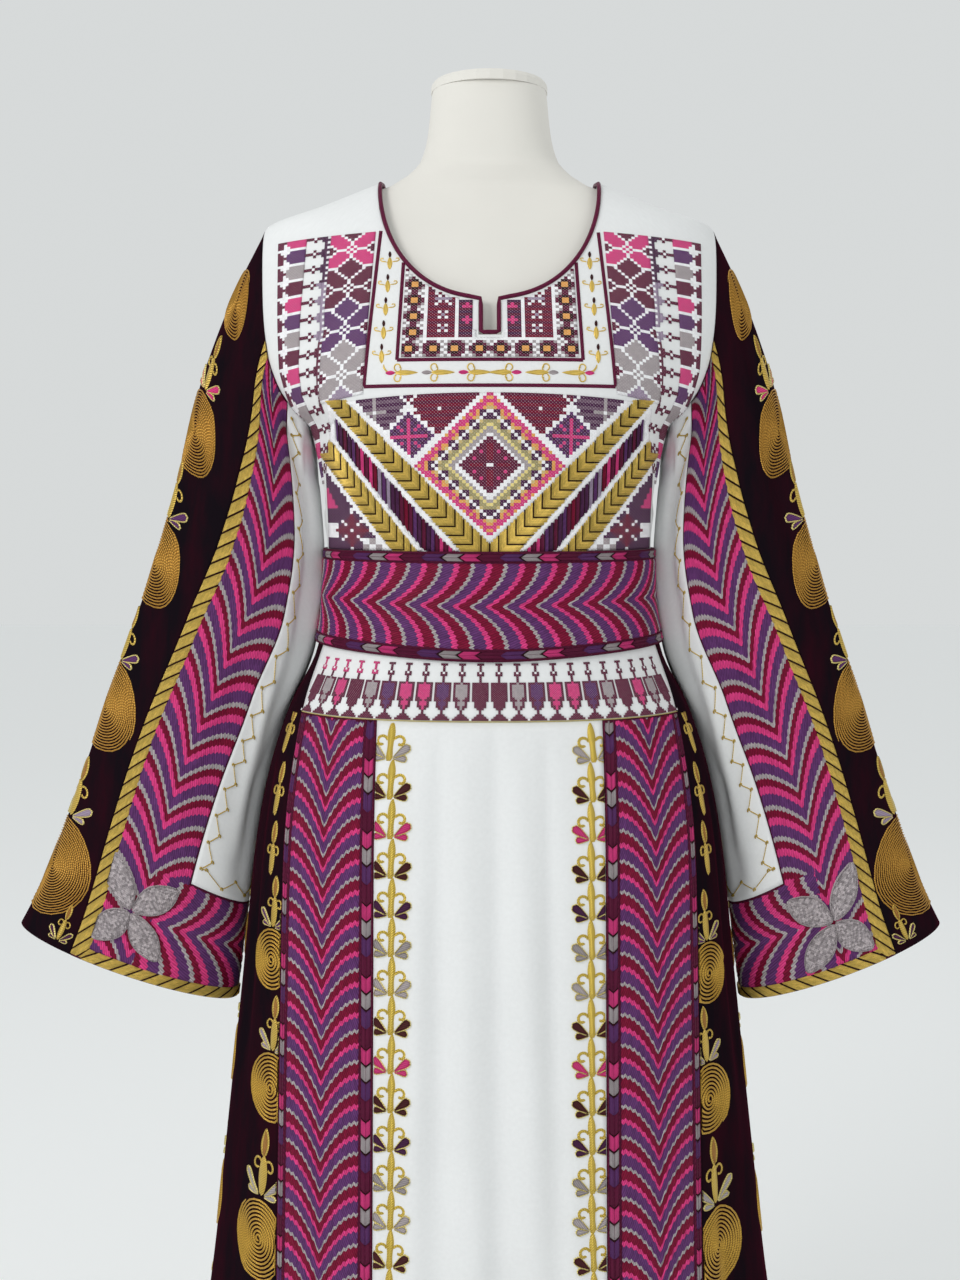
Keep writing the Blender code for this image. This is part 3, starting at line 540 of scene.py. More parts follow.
class ThobeColours(bpy.types.PropertyGroup):
    """Colours of the cloth, the threads and the stand."""
    __annotations__ = {key: colour_property(key) for key in COLOURS}


def length_property(name, description, default, least, most):
    return bpy.props.FloatProperty(name=name, description=description, default=default, min=least, max=most,
                                   unit="LENGTH", subtype="DISTANCE")


class ThobeSizes(bpy.types.PropertyGroup):
    """Sizes of the stitching that a user would change."""
    feather_cycle: length_property(
        "Feather repeat", "Length of one repeat of four feather stripes", 0.0276, 0.015, 0.06)
    cord_pitch: length_property(
        "Cord pitch", "Distance between the turns of a couched gold disc", 0.0024, 0.0015, 0.006)
    vine_pitch: length_property(
        "Vine repeat", "Length of one flower of the gold vines on the skirt", 0.033, 0.02, 0.06)
    stitch_height: length_property(
        "Stitch height", "How far satin stitch stands on the cloth", 0.001, 0.0003, 0.003)


def sizes():
    """The sizes set in the panel."""
    return bpy.context.scene.thobe_sizes


def shades():
    """All colours as arrays, by name."""
    chosen = bpy.context.scene.thobe_colours
    return {key: np.array(getattr(chosen, key)[:]) for key in COLOURS}


def threads(names):
    """Colours in the order of their names."""
    tones = shades()
    return [tones[name] for name in names.split()]


def add_node(tree, kind, inputs, **settings):
    """Adds a node, sets it, and links or sets its inputs, given by name or number; gives its output."""
    made = tree.nodes.new(kind)
    for key, value in settings.items():
        setattr(made, key, value)
    for key, value in inputs.items():
        if isinstance(value, bpy.types.NodeSocket):
            tree.links.new(value, made.inputs[key])
        else:
            made.inputs[key].default_value = value
    return made.outputs[2 if kind == "ShaderNodeMix" else 0]


class Effect:
    """A node group in the making, with the inputs it is given and the outputs Height and Shade."""

    def __init__(self, name, inputs):
        self.tree = bpy.data.node_groups.new(name, "ShaderNodeTree")
        self.tree.interface.new_socket("Vector", in_out="INPUT", socket_type="NodeSocketVector")
        for label, value in inputs.items():
            made = self.tree.interface.new_socket(label, in_out="INPUT", socket_type="NodeSocketFloat")
            made.default_value = value
        for label in ("Height", "Shade"):
            self.tree.interface.new_socket(label, in_out="OUTPUT", socket_type="NodeSocketFloat")
        self.given = self.tree.nodes.new("NodeGroupInput").outputs
        self.end = self.tree.nodes.new("NodeGroupOutput")

    def split(self):
        """The three parts of the vector."""
        apart = self.tree.nodes.new("ShaderNodeSeparateXYZ")
        self.tree.links.new(self.given["Vector"], apart.inputs[0])
        return apart.outputs

    def calc(self, operation, *values):
        return add_node(self.tree, "ShaderNodeMath", dict(enumerate(values)), operation=operation)

    def pitches(self, value):
        return self.calc("DIVIDE", value, self.given["Pitch"])

    def wave(self, count, times=1.0):
        """A sine with one hump to each pitch counted, or more."""
        return self.calc("SINE", self.calc("MULTIPLY", count, math.pi * times))

    def noise(self, scale, detail, vector=None, roughness=0.5):
        where = self.given["Vector"] if vector is None else vector
        return add_node(self.tree, "ShaderNodeTexNoise", {"Vector": where, "Scale": scale, "Detail": detail,
                                                          "Roughness": roughness})

    def send(self, height, shade):
        self.tree.links.new(height, self.end.inputs["Height"])
        self.tree.links.new(shade, self.end.inputs["Shade"])


def plain_weave(fx):
    """Warp and weft over and under each other, with uneven yarns."""
    warp, weft = (fx.wave(fx.pitches(part)) for part in fx.split()[:2])
    crossing = fx.calc("ABSOLUTE", fx.calc("MULTIPLY", warp, weft))
    slub, wide = fx.noise(260.0, 2.0), fx.noise(9.0, 3.0)
    tone = fx.calc("MULTIPLY_ADD", wide, 0.1, 0.9)
    fx.send(fx.calc("ADD", crossing, slub), fx.calc("MULTIPLY_ADD", slub, 0.08, tone))


def satin_threads(fx):
    """Fine parallel threads, some darker than others, with painted shade in the grooves between them."""
    across, up = fx.split()[:2]
    count = fx.pitches(fx.calc("MULTIPLY_ADD", up, fx.given["Slant"], across))
    ridge = fx.calc("ABSOLUTE", fx.wave(count))
    lanes = add_node(fx.tree, "ShaderNodeCombineXYZ", {0: fx.calc("FLOOR", count),
                                                       1: fx.calc("MULTIPLY", up, 90.0)})
    lit = fx.calc("MULTIPLY_ADD", ridge, 0.5, 0.42)
    fx.send(ridge, fx.calc("MULTIPLY_ADD", fx.noise(0.9, 1.0, lanes), 0.5, lit))


def cross_stitches(fx):
    """Two legs over each cell; the shade is how far the linen shows, or in the knotted finish how far the
    painted shade between the knots shows. The vector counts cells.
    """
    across, up = (fx.calc("FRACT", part) for part in fx.split()[:2])
    rising = fx.calc("ABSOLUTE", fx.calc("SUBTRACT", across, up))
    falling = fx.calc("ABSOLUTE", fx.calc("SUBTRACT", fx.calc("ADD", across, up), 1.0))
    legs = [fx.calc("MAXIMUM", fx.calc("MULTIPLY_ADD", leg, -2.2, top), 0.0)
            for leg, top in ((rising, 1.0), (falling, 0.85))]
    height = fx.calc("MAXIMUM", *legs)
    bare = fx.calc("MAXIMUM", fx.calc("MULTIPLY_ADD", height, -1.3, 0.68), 0.0)
    fx.send(height, fx.calc("MULTIPLY", fx.noise(0.8, 2.0), bare))


def velvet_nap_and_sheen(fx):
    """Brushed patches where the nap lies another way: they raise the bump, and their shade mixes a painted
    maroon sheen into the velvet's colour.
    """
    stretched = add_node(fx.tree, "ShaderNodeMapping", {0: fx.given["Vector"], "Scale": (26.0, 26.0, 7.0)})
    # the brushed patches are the mask of the painted sheen as well as part of the bump
    brushed = fx.noise(1.0, 4.0, stretched, 0.65)
    fx.send(fx.calc("MULTIPLY_ADD", fx.noise(1400.0, 1.0), 0.6, brushed),
            add_node(fx.tree, "ShaderNodeMapRange", {0: brushed, 1: 0.42, 2: 0.72}))


def cord_twist(fx):
    """Plies that lean across a cord, in length along it, with painted shade between the plies."""
    across, up = fx.split()[:2]
    ply = fx.calc("ABSOLUTE", fx.wave(fx.pitches(fx.calc("MULTIPLY_ADD", across, 0.9, up))))
    lit = fx.calc("MULTIPLY_ADD", ply, 0.35, 0.45)
    fx.send(ply, fx.calc("MULTIPLY_ADD", fx.noise(55.0, 3.0), 0.45, lit))


def jersey_knit(fx):
    """Columns of small knitted loops."""
    across, _, up = fx.split()
    fx.send(fx.calc("MULTIPLY", fx.wave(fx.pitches(across)), fx.wave(fx.pitches(up), 1.6)),
            fx.calc("MULTIPLY_ADD", fx.noise(14.0, 2.0), 0.1, 0.92))


# Each effect's own inputs, with their defaults
EFFECTS = {plain_weave: {"Pitch": 0.0005}, satin_threads: {"Pitch": 0.0007, "Slant": 0.3}, cross_stitches: {},
           velvet_nap_and_sheen: {}, cord_twist: {"Pitch": 0.0016}, jersey_knit: {"Pitch": 0.0008}}


def group_of(effect):
    """The node group of an effect, built once."""
    name = "thobe_" + effect.__name__
    if name not in bpy.data.node_groups:
        effect(Effect(name, EFFECTS[effect]))
    return bpy.data.node_groups[name]


# Effect, colour and second colour as shares of named ones (no colour: the thread's own), then settings:
# the effect's inputs, bump strength and height in metres, and values of the shader
FINISHES = {
    "white_cotton": (plain_weave, {"cotton": 1}, {}, {"Pitch": 0.0005}, 0.25, 0.0004,
                     {"Roughness": 0.80, "Sheen Weight": 0.15, "Sheen Roughness": 0.4}),
    "burgundy_ground": (plain_weave, {"burgundy": 0.7}, {}, {"Pitch": 0.0005}, 0.3, 0.0004,
                        {"Roughness": 0.8}),
    "satin_stitch": (satin_threads, {}, {}, {"Pitch": 0.0017, "Slant": 0.35}, 0.6, 0.0006,
                     {"Roughness": 0.40, "Specular IOR Level": 0.22, "IOR": 1.3}),
    "gold_satin": (satin_threads, {}, {}, {"Pitch": 0.0014, "Slant": 0.1}, 0.6, 0.0006,
                   {"Roughness": 0.30, "Metallic": 0.45}),
    "cross_stitch": (cross_stitches, {}, {"linen": 1}, {}, 0.6, 0.0006, {"Roughness": 0.62, "IOR": 1.25}),
    "knotted_satin": (cross_stitches, {}, {"knot_shade": 1}, {}, 0.8, 0.0009, {"Roughness": 0.5}),
    "gold_thread": (cord_twist, {}, {}, {"Pitch": 0.0022}, 0.7, 0.0007,
                    {"Roughness": 0.30, "Metallic": 0.55}),
    # Velvet: its second colour, velvet with maroon sheen tone mixed in, is a painted sheen laid in patches by
    # the nap's shade
    "velvet_painted_sheen": (velvet_nap_and_sheen, {"velvet": 1.3}, {"velvet": 0.8, "velvet_sheen": 0.13}, {}, 0.35, 0.0006,
                       {"Roughness": 0.95, "Sheen Weight": 0.45, "Sheen Roughness": 0.3,
                        "Specular IOR Level": 0.0, "IOR": 1.0}),
    "form_jersey": (jersey_knit, {"form": 1}, {}, {"Pitch": 0.0008}, 0.15, 0.0004,
                    {"Roughness": 0.88, "Sheen Weight": 0.1}),
    "satin_steel": (plain_weave, {"steel": 1}, {}, {"Pitch": 0.0012}, 0.05, 0.0004,
                    {"Roughness": 0.32, "Metallic": 1.0}),
}
BY_OBJECT = ("velvet_painted_sheen", "form_jersey", "satin_steel")
KNOTS_PER_METRE = 420.0
SHADER_DEFAULTS = {"Metallic": 0.0, "Specular IOR Level": 0.15, "IOR": 1.45, "Sheen Weight": 0.0,
                   "Sheen Roughness": 0.5}


# Shades between which a finish turns from its roughest to its set roughness, and by how much
DARK_SHADE, LIGHT_SHADE, DARK_ROUGHER = 0.4, 1.1, 0.12


def finish(name):
    """A material: its colour, or the thread attribute, shaded and raised by its effect."""
    if name in bpy.data.materials:
        return bpy.data.materials[name]
    effect, colour, second, inputs, bump, rise, values = FINISHES[name]
    tones = shades()
    made = bpy.data.materials.new(name)
    made.use_nodes = True
    tree = made.node_tree
    shader = tree.nodes["Principled BSDF"]
    where = tree.nodes.new("ShaderNodeTexCoord").outputs["Object" if name in BY_OBJECT else "UV"]
    if name == "knotted_satin":
        where = add_node(tree, "ShaderNodeMapping", {0: where, "Scale": (KNOTS_PER_METRE,) * 3})
    relief = tree.nodes.new("ShaderNodeGroup")
    relief.node_tree = group_of(effect)
    tree.links.new(where, relief.inputs["Vector"])
    for key, value in inputs.items():
        relief.inputs[key].default_value = value
    height, shade = relief.outputs["Height"], relief.outputs["Shade"]

    def blend(parts):
        return (*sum(tones[key] * share for key, share in parts.items()), 1)
    if colour:
        plain = tree.nodes.new("ShaderNodeRGB").outputs[0]
        plain.default_value = blend(colour)
    else:
        plain = add_node(tree, "ShaderNodeAttribute", {}, attribute_name="thread")
    if second:
        tinted = add_node(tree, "ShaderNodeMix", {"Factor": shade, 6: plain, 7: blend(second)},
                          data_type="RGBA")
    else:
        tinted = add_node(tree, "ShaderNodeVectorMath", {0: plain, 3: shade}, operation="SCALE")
    tree.links.new(tinted, shader.inputs["Base Color"])
    raised = add_node(tree, "ShaderNodeBump", {"Strength": bump, "Distance": rise, "Height": height})
    tree.links.new(raised, shader.inputs["Normal"])
    rough = add_node(tree, "ShaderNodeMapRange", {
        0: shade, 1: DARK_SHADE, 2: LIGHT_SHADE, 3: min(values["Roughness"] + DARK_ROUGHER, 1.0),
        4: values["Roughness"]})
    for key, value in {**SHADER_DEFAULTS, **values}.items():
        shader.inputs[key].default_value = value
    tree.links.new(rough, shader.inputs["Roughness"])
    if name == "velvet_painted_sheen":
        shader.inputs["Sheen Tint"].default_value = (*tones["velvet_sheen"], 1)
    return made


# ---- cloth of the dress
def band_inner(z):
    return direction_of(smooth(BAND_EDGES, 1, z), z)


def band_outer(z):
    return direction_of(smooth(BAND_EDGES, 2, z), z)


def fixed_seam(deg):
    """A seam that runs straight, at one direction."""
    return lambda at: np.full(np.shape(at), float(deg))


def skirt_place(left, right, top, bottom):
    """place(u, v) of a skirt panel between two seams, half a seam gap inside them."""
    def place(u, v):
        z = top + (bottom - top) * v
        gap = np.degrees(SEAM / 2 / np.linalg.norm(dress_skin(z, left(z))[..., :2], axis=-1))
        first, last = left(z) + gap, right(z) - gap
        return dress(z, first + (last - first) * u)
    return place


def build_skirt():
    """Hip band, white front, embroidered bands, velvet sides and white back."""
    def mirrored(seam):
        return lambda z: -seam(z)
    back_right, back_left = fixed_seam(BACK_SEAM_DEG), fixed_seam(360 - BACK_SEAM_DEG)
    waist, under_hip = WAIST_SEAM_Z - SEAM, HIP_SEAM_Z - SEAM / 2
    cloth("hip_cloth", skirt_place(mirrored(band_outer), band_outer, waist, HIP_SEAM_Z + SEAM / 2), 72, 20,
          COTTON_WALL, "white_cotton", "chest", ["hip_band"])
    cloth("skirt_front_cloth", skirt_place(mirrored(band_inner), band_inner, under_hip, HEM_Z), 48, 110,
          COTTON_WALL, "white_cotton", "cotton", ["skirt_front"])
    for side, left, right in (("right", band_inner, band_outer),
                              ("left", mirrored(band_outer), mirrored(band_inner))):
        cloth(f"skirt_band_cloth_{side}", skirt_place(left, right, under_hip, HEM_Z), 24, 110,
              EMBROIDERED_WALL, "burgundy_ground", "feather", [f"skirt_band_{side}"])
    for side, left, right in (("right", band_outer, back_right),
                              ("left", mirrored(back_right), mirrored(band_outer))):
        cloth(f"skirt_side_cloth_{side}", skirt_place(left, right, waist, HEM_Z), 70, 120,
              VELVET_WALL, "velvet_painted_sheen", "velvet", [f"skirt_side_{side}"])
    cloth("skirt_back_cloth", skirt_place(back_right, back_left, waist, HEM_Z), 90, 120,
          COTTON_WALL, "white_cotton", "cotton", ["skirt_back"])


def belt_place(a, deg, out=0.0):
    """The outside of the belt: a from -1 at its foot to 1 at its top."""
    foot = BELT_BOTTOM_Z + BELT_SIDE_RISE * np.sin(np.radians(deg)) ** 2
    z = foot + (BELT_TOP_Z - foot) * (a + 1) / 2
    return dress(z, deg, BELT_EASE + BELT_WALL + np.asarray(out))


def build_belt():
    """The stiff belt, closed behind."""
    made = cloth("belt_cloth", lambda u, v: belt_place(1 - 2 * v, -180 + 360 * u), 180, 12, BELT_WALL,
                 "burgundy_ground", "feather", ["belt"])
    weld(made, CLOTH_WELD)


NECK_TURNS_DEG = (0, 9, 18, 27, 36, 45, 54, 62, 69, 75, 80, 84, 87, 89, 90)
NECK_LOW_SHARE = 0.555
SHOULDER_COLUMNS = 9
LOW_ROWS = 16
HIGH_ROWS = 34


def shoulder_z(x):
    """Height of the shoulder seam at a distance from the middle."""
    z = np.linspace(SHOULDER_TIP_Z, SECTIONS[-1][0], 300)
    return np.interp(-np.abs(x), -smooth(SECTIONS, 1, z), z)


def neck_edge(turn_deg, behind):
    """x and z of the cut neck edge, from the middle at 0 to the neck point at 90."""
    turn = np.radians(np.asarray(turn_deg, float))
    fall = BACK_NECK_DROP if behind else NECK_POINT_Z - NECK_BOTTOM_Z
    x = NECK_HALF * np.sin(turn) ** (2 / NECK_ROUNDNESS)
    z = NECK_POINT_Z - fall * np.clip(np.cos(turn), 0, 1) ** (2 / NECK_ROUNDNESS)
    return x, z


def bodice_columns(behind):
    """Columns of one half of the bodice: share of the half width low down, x and z of the top."""
    x, z = neck_edge(NECK_TURNS_DEG, behind)
    share = np.linspace(0.0 if behind else 0.07, NECK_LOW_SHARE, len(x))
    tip_x = float(armhole_x(SHOULDER_TIP_Z))
    out = np.sin(math.pi / 2 * np.arange(1, SHOULDER_COLUMNS + 1) / SHOULDER_COLUMNS)
    shoulder_x = NECK_HALF + (tip_x - NECK_HALF) * out
    rows = np.stack([np.concatenate([share, NECK_LOW_SHARE + (1 - NECK_LOW_SHARE) * out]),
                     np.concatenate([x, shoulder_x]), np.concatenate([z, shoulder_z(shoulder_x)])], 1)
    if not behind:
        slit = SLIT_HALF / tip_x
        foot, head = (slit, SLIT_HALF, SLIT_BOTTOM_Z), (slit * 1.6, SLIT_HALF * 1.03, NECK_BOTTOM_Z)
        rows = np.concatenate([[(0.0, 0.0, SLIT_BOTTOM_Z), foot, head], rows[1:]])
    return np.concatenate([rows[:0:-1] * (-1, -1, 1), rows])


def bodice_grid(behind):
    """x and z of the whole bodice panel, top row first."""
    share, top_x, top_z = bodice_columns(behind).T
    low = np.linspace(WAIST_SEAM_Z, UNDERARM_Z, LOW_ROWS, endpoint=False)[:, None]
    low_x = share * smooth(SECTIONS, 1, low)
    edge_z = armhole_z(np.linspace(0, math.pi, HIGH_ROWS))[:, None]
    climb = (edge_z - UNDERARM_Z) / (SHOULDER_TIP_Z - UNDERARM_Z)
    own_z = UNDERARM_Z + climb * (top_z - UNDERARM_Z)
    straight = share * armhole_x(np.minimum(own_z, SHOULDER_TIP_Z))
    high_x = straight + (top_x - straight) * climb ** 2
    at_edge = np.abs(share) == 1
    own_z = np.where(at_edge, edge_z, own_z)
    high_x = np.where(at_edge, share * armhole_x(edge_z), high_x)
    x = np.concatenate([low_x, high_x])[::-1]
    z = np.concatenate([np.broadcast_to(low, low_x.shape), own_z])[::-1]
    return x, z


def build_bodice():
    """Front and back of the bodice."""
    for name, behind, node in (("bodice_front_cloth", False, "bodice_front"),
                               ("bodice_back_cloth", True, "bodice_back")):
        x, z = bodice_grid(behind)
        rows, columns = x.shape[0] - 1, x.shape[1] - 1

        def place(u, v):
            at = step(v, rows), step(u, columns)
            points = dress(z[at], direction_of(x[at], z[at], behind))
            points[:, 1] += SEAM / 2 if behind else -SEAM / 2
            return points
        cloth(name, place, columns, rows, COTTON_WALL, "white_cotton", "cotton" if behind else "chest",
              [node])


SLEEVE_SIDES = ("left", "right")


def seam_of(column):
    return lambda share: smooth(SLEEVE_SEAMS, column, share)


VELVET_FRONT, BAND_FRONT, BAND_UNDER = seam_of(1), seam_of(2), seam_of(3)
VELVET_BACK, UNDER_SEAM, UNDER_BACK = (fixed_seam(d) for d in (VELVET_BACK_DEG, 0, VELVET_BACK_DEG - 360))


def build_sleeves():
    """The cloth of both sleeves: velvet, strips, bands, white underside and cuffs."""
    gap = SEAM / 2 / SLEEVE_LENGTH
    cotton, ground, velvet = "white_cotton", "burgundy_ground", "velvet_painted_sheen"
    panels = (
        ("velvet", VELVET_BACK, VELVET_FRONT, 0.0, 1.0, (60, 90), VELVET_WALL, velvet, "velvet", 0.0),
        ("strip", VELVET_FRONT, BAND_FRONT, 0.0, 1.0, (6, 90), STRIP_WALL, ground, "gold", STRIP_RAISED),
        ("band", BAND_FRONT, BAND_UNDER, 0.0, HEM_EDGE_TOP - gap, (20, 90), EMBROIDERED_WALL, ground,
         "feather", 0.0),
        ("under", BAND_UNDER, UNDER_SEAM, 0.0, CUFF_TOP - gap, (22, 80), COTTON_WALL, cotton, "cotton", 0.0),
        ("back", UNDER_SEAM, UNDER_BACK, 0.0, CUFF_TOP - gap, (36, 80), COTTON_WALL, cotton, "cotton", 0.0),
        ("cuff", BAND_UNDER, UNDER_BACK, CUFF_TOP + gap, HEM_EDGE_TOP - gap, (64, 20), EMBROIDERED_WALL,
         ground, "feather", 0.0),
        ("edge", BAND_FRONT, UNDER_BACK, HEM_EDGE_TOP + gap, 1.0, (80, 3), STRIP_WALL, ground, "gold",
         STRIP_RAISED),
    )
    for side in SLEEVE_SIDES:
        surface = sleeve(side)
        for name, first, last, start, end, (columns, rows), wall, finish_name, slot, raised in panels:
            def place(u, v):
                share = start + (end - start) * v
                reach = SLEEVE_REACH[side]
                ends = [first(share), last(share)]
                way = np.sign(ends[1] - ends[0])
                for k, sign in ((0, 1), (1, -1)):
                    pace = np.linalg.norm(sleeve_skin(ends[k] + 0.5, share, reach)
                                          - sleeve_skin(ends[k] - 0.5, share, reach), axis=-1)
                    ends[k] = ends[k] + sign * way * np.minimum(SEAM / 2 / np.maximum(pace, 1e-6), 0.8)
                return surface(ends[0] + (ends[1] - ends[0]) * u, share, raised)
            cloth(f"sleeve_{name}_cloth_{side}", place, columns, rows, wall, finish_name, slot,
                  [f"sleeve_{name}_{side}"], core=middle_of_sleeve(side))


# ---- dress form
def form_ring(z, deg):
    """Points of the torso and neck of the dress form at one height."""
    behind = np.cos(np.radians(deg)) < 0
    if z <= FORM_HIPS[-1][0]:
        table = FORM_HIPS
    elif z >= FORM_NECK[0][0]:
        table = FORM_NECK
    else:
        table = None
    if table:
        across = smooth(table, 1, z)
        deep = np.where(behind, smooth(table, 3, z), smooth(table, 2, z))
    else:
        across = smooth(SECTIONS, 1, z + FORM_DROP) - smooth(FORM_EASE, 1, z)
        deep = depth(z + FORM_DROP, behind) - FORM_DEPTH_EASE
    radius = ring_radius(across, deep, deg)
    x, y = radius * np.sin(np.radians(deg)), -radius * np.cos(np.radians(deg))
    if UNDERARM_Z < z < SHOULDER_TIP_Z:
        plate = float(armhole_x(z)) - float(smooth(FORM_EASE, 1, z))
        x = np.clip(x, -plate, plate)
    return stack(x, y, z)


def build_form():
    """The covered torso and neck of the form, flat at its foot and its neck top."""
    heights = np.concatenate([
        [FORM_HIPS[0][0], 0.802, 0.806, 0.812, 0.82], np.linspace(0.83, 1.036, 16),
        np.linspace(1.055, 1.235, 14), np.linspace(1.245, 1.4, 18), [1.408, 1.414, 1.42, 1.427, 1.434,
                                                                      1.44, 1.4465],
        [1.456, 1.462], np.linspace(1.468, FORM_NECK[-1][0], 10)])[::-1]
    columns, rows = 96, len(heights) - 1
    turns = np.linspace(-math.pi, math.pi, columns + 1)
    across, deep = smooth(SECTIONS, 1, BELT_TOP_Z), float(depth(BELT_TOP_Z, False))
    deg = np.degrees(np.arctan2(across * np.sin(turns), deep * np.cos(turns)))
    rings = np.stack([form_ring(float(z), deg) for z in heights])

    def place(u, v):
        return rings[step(v, rows), step(u, columns)]
    work = Patchwork()
    work.patch(columns, rows, place, shades()["form"])
    made = work.finish("form_torso", "form_jersey", "form")
    weld(made, CLOTH_WELD, close=True)
    made.data.set_sharp_from_angle(angle=math.radians(50))
    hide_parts("form_body")


def dress_stand():
    """Gives the carried-over pole, base and neck cap their finishes."""
    for name, finish_name, slot in (("form_pole", "satin_steel", "metal"),
                                    ("form_base", "satin_steel", "metal"),
                                    ("form_neck_cap", "form_jersey", "form")):
        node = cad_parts[name]
        node.data.materials.clear()
        node.data.materials.append(finish(finish_name))


# ---- feather stitch and striped bands
JAG = 0.0018
SKIRT_JAG = 0.0021
# Stripes of the feathers as they follow each other, with their shares of a repeat
SKIRT_FEATHER = (("grey", 0.11), ("dark_red", 0.34), ("pink", 0.16), ("purple", 0.39))
BELT_FEATHER = (("dark_red", 0.35), ("pink", 0.17), ("purple", 0.36), ("grey", 0.12))
SLEEVE_FEATHER = (("pink", 0.24), ("purple", 0.37), ("grey", 0.15), ("dark_red", 0.24))
CUFF_FEATHER = (("grey", 0.15), ("purple", 0.37), ("pink", 0.24), ("dark_red", 0.24))
BRAID_BLOCKS = (("pink", 0.20), ("outline", 0.03), ("grey", 0.20), ("outline", 0.03), ("purple", 0.24),
                ("burgundy", 0.28), ("outline", 0.02))
# How far the arms of a feather sweep back, and how sharply they bend
SKIRT_SWEEP, SKIRT_BEND = 0.037, 1.9
BELT_SWEEP, BELT_BEND = 0.029, 2.0
SLEEVE_SWEEP, CUFF_SWEEP, SLEEVE_BEND = 0.035, 0.03, 1.8
# Repeats: the skirt's as a share of the set one, and the others' lengths
SKIRT_CYCLE_SHARE, SKIRT_BRAID_CYCLES, BELT_BRAID_CYCLE = 0.945, 2.35, 0.067
SLEEVE_CYCLE, CUFF_CYCLE = 0.0312, 0.0275
STRIP_CYCLE, STRIP_SLANT, EDGE_CYCLE, EDGE_SLANT = 0.0143, 0.0205, 0.0148, 0.014
SPINE_SHARE = 0.5375
# Braids beside the skirt's feathers: their edges in BAND_SHARES, offset, sweep and half of an edge line
SKIRT_BRAIDS = ((1, 2, 0.031, 0.004, 0.13), (5, 6, 0.024, 0.0028, 0.18))
GILT_HEIGHT = 0.0015


def stripes_of(named):
    """Stripes with their colours in place of names."""
    tones = shades()
    return [(tones[name], share) for name, share in named]


def feather_profile(power):
    """How far the arms of a feather have swept back, 0 at the spine and 1 at the edges."""
    return lambda a: 1 - (1 - np.abs(a)) ** power


def slanted(a):
    return (a + 1) / 2


def striped(work, surface, length, stripes, cycle, sweep, profile, columns, jag=0.0, height=0.001,
            edge=-0.0003, start=0.0, spine_dip=0.0, shoulder=0.0):
    """Satin stripes across a band. surface(a, s, out): a is -1 to 1 across, s runs along the band.

    stripes are (colour, share of a cycle) in the order in which they follow along s. A stripe's border
    lies at its own s less sweep * profile(a). A shoulder makes stripes flat, that far in from their borders.
    """
    tones, shares = (np.array(values) for values in zip(*stripes))
    shares = shares / shares.sum()
    count = int(math.ceil((length + sweep) / cycle)) + 1
    widths = np.tile(shares * cycle, count)
    borders = np.concatenate([[0], np.cumsum(widths)]) + start - cycle
    borders = borders[borders < length + sweep + cycle]
    lines = 3 if shoulder else 2
    rows = lines * (len(borders) - 1)
    along = np.empty(rows + 1)
    along[0::lines] = borders
    if shoulder:
        inside = np.minimum(shoulder, widths[:len(borders) - 1] * 0.3)
        along[1::3], along[2::3] = borders[:-1] + inside, borders[1:] - inside
    else:
        along[1::2] = (borders[:-1] + borders[1:]) / 2

    def spot(u, v):
        a, row = 2 * u - 1, step(v, rows)
        s = along[row] - sweep * profile(a) + jag * (step(u, columns) % 2 - 0.5) * (np.abs(a) > 1e-6)
        return a, row, np.clip(s, 0, length)

    def place(u, v):
        a, row, s = spot(u, v)
        out = np.where(row % lines > 0, height, height * 0.35)
        out = out - spine_dip * np.exp(-(a / 0.1) ** 2)
        out = np.where((np.abs(a) > 0.999) | (s <= 0) | (s >= length), edge, out)
        return surface(a, s, out)

    def colour(u, v):
        stripe = np.floor(v * rows / lines).astype(int)
        shade = 0.86 + 0.28 * RNG.random(len(u))
        return tones[stripe % len(tones)] * shade[:, None]

    def uv(u, v):
        a, _, s = spot(u, v)
        return a * 0.03, s
    work.patch(columns, rows, place, colour, uv)


def arc_table(points):
    """Distance along a line of points from its start."""
    return np.concatenate([[0], np.cumsum(np.linalg.norm(np.diff(points, axis=0), axis=1))])


def skirt_strip(sign, inner, outer, spine, top, bottom):
    """surface(a, s, out) of a lengthwise strip of the skirt and its length; a is -1 at the inner edge."""
    z = np.linspace(top, bottom, 200)
    table = arc_table(dress(z, sign * spine(z)))

    def surface(a, s, out):
        height = np.interp(s, table, z)
        first, middle, last = inner(height), spine(height), outer(height)
        deg = np.where(a < 0, middle + a * (middle - first), middle + a * (last - middle))
        return dress(height, sign * deg, out)
    return surface, float(table[-1])


def band_share(share):
    """Direction in degrees of a place across the embroidered band, from its inner to its outer seam."""
    return lambda z: band_inner(z) + (band_outer(z) - band_inner(z)) * share


BAND_SHARES = (0.0, 0.02, 0.13, 0.145, 0.915, 0.93, 0.99)


def arrow_braid(work, surface, length, cycle, sweep, start, line_half, steps=240):
    """Blocks of satin arrows with dark notches between them, and lines down the middle and both edges."""
    striped(work, surface, length, stripes_of(BRAID_BLOCKS), cycle, sweep, np.abs, 8, height=0.0011,
            start=start, spine_dip=0.0006, shoulder=0.0008)
    burgundy = shades()["burgundy"]
    line_along(work, surface, length, 0.0, 0.09, burgundy * 0.8, 0.0008)
    for at in (-1.0, 1.0):
        line_along(work, surface, length, at, line_half, burgundy, steps=steps)


def line_along(work, surface, length, at, half, colour, height=0.0012, steps=240):
    """A stitched line along a strip at a fixed place across it."""
    s = np.linspace(0, length, steps)

    def place(u, v):
        a = at + (2 * u - 1) * half
        out = np.where(np.abs(u - 0.5) < 0.1, height, -0.0003)
        return surface(a, s[step(v, steps - 1)], out)
    work.patch(2, steps - 1, place, colour, lambda u, v: (u * 0.001, v * length))


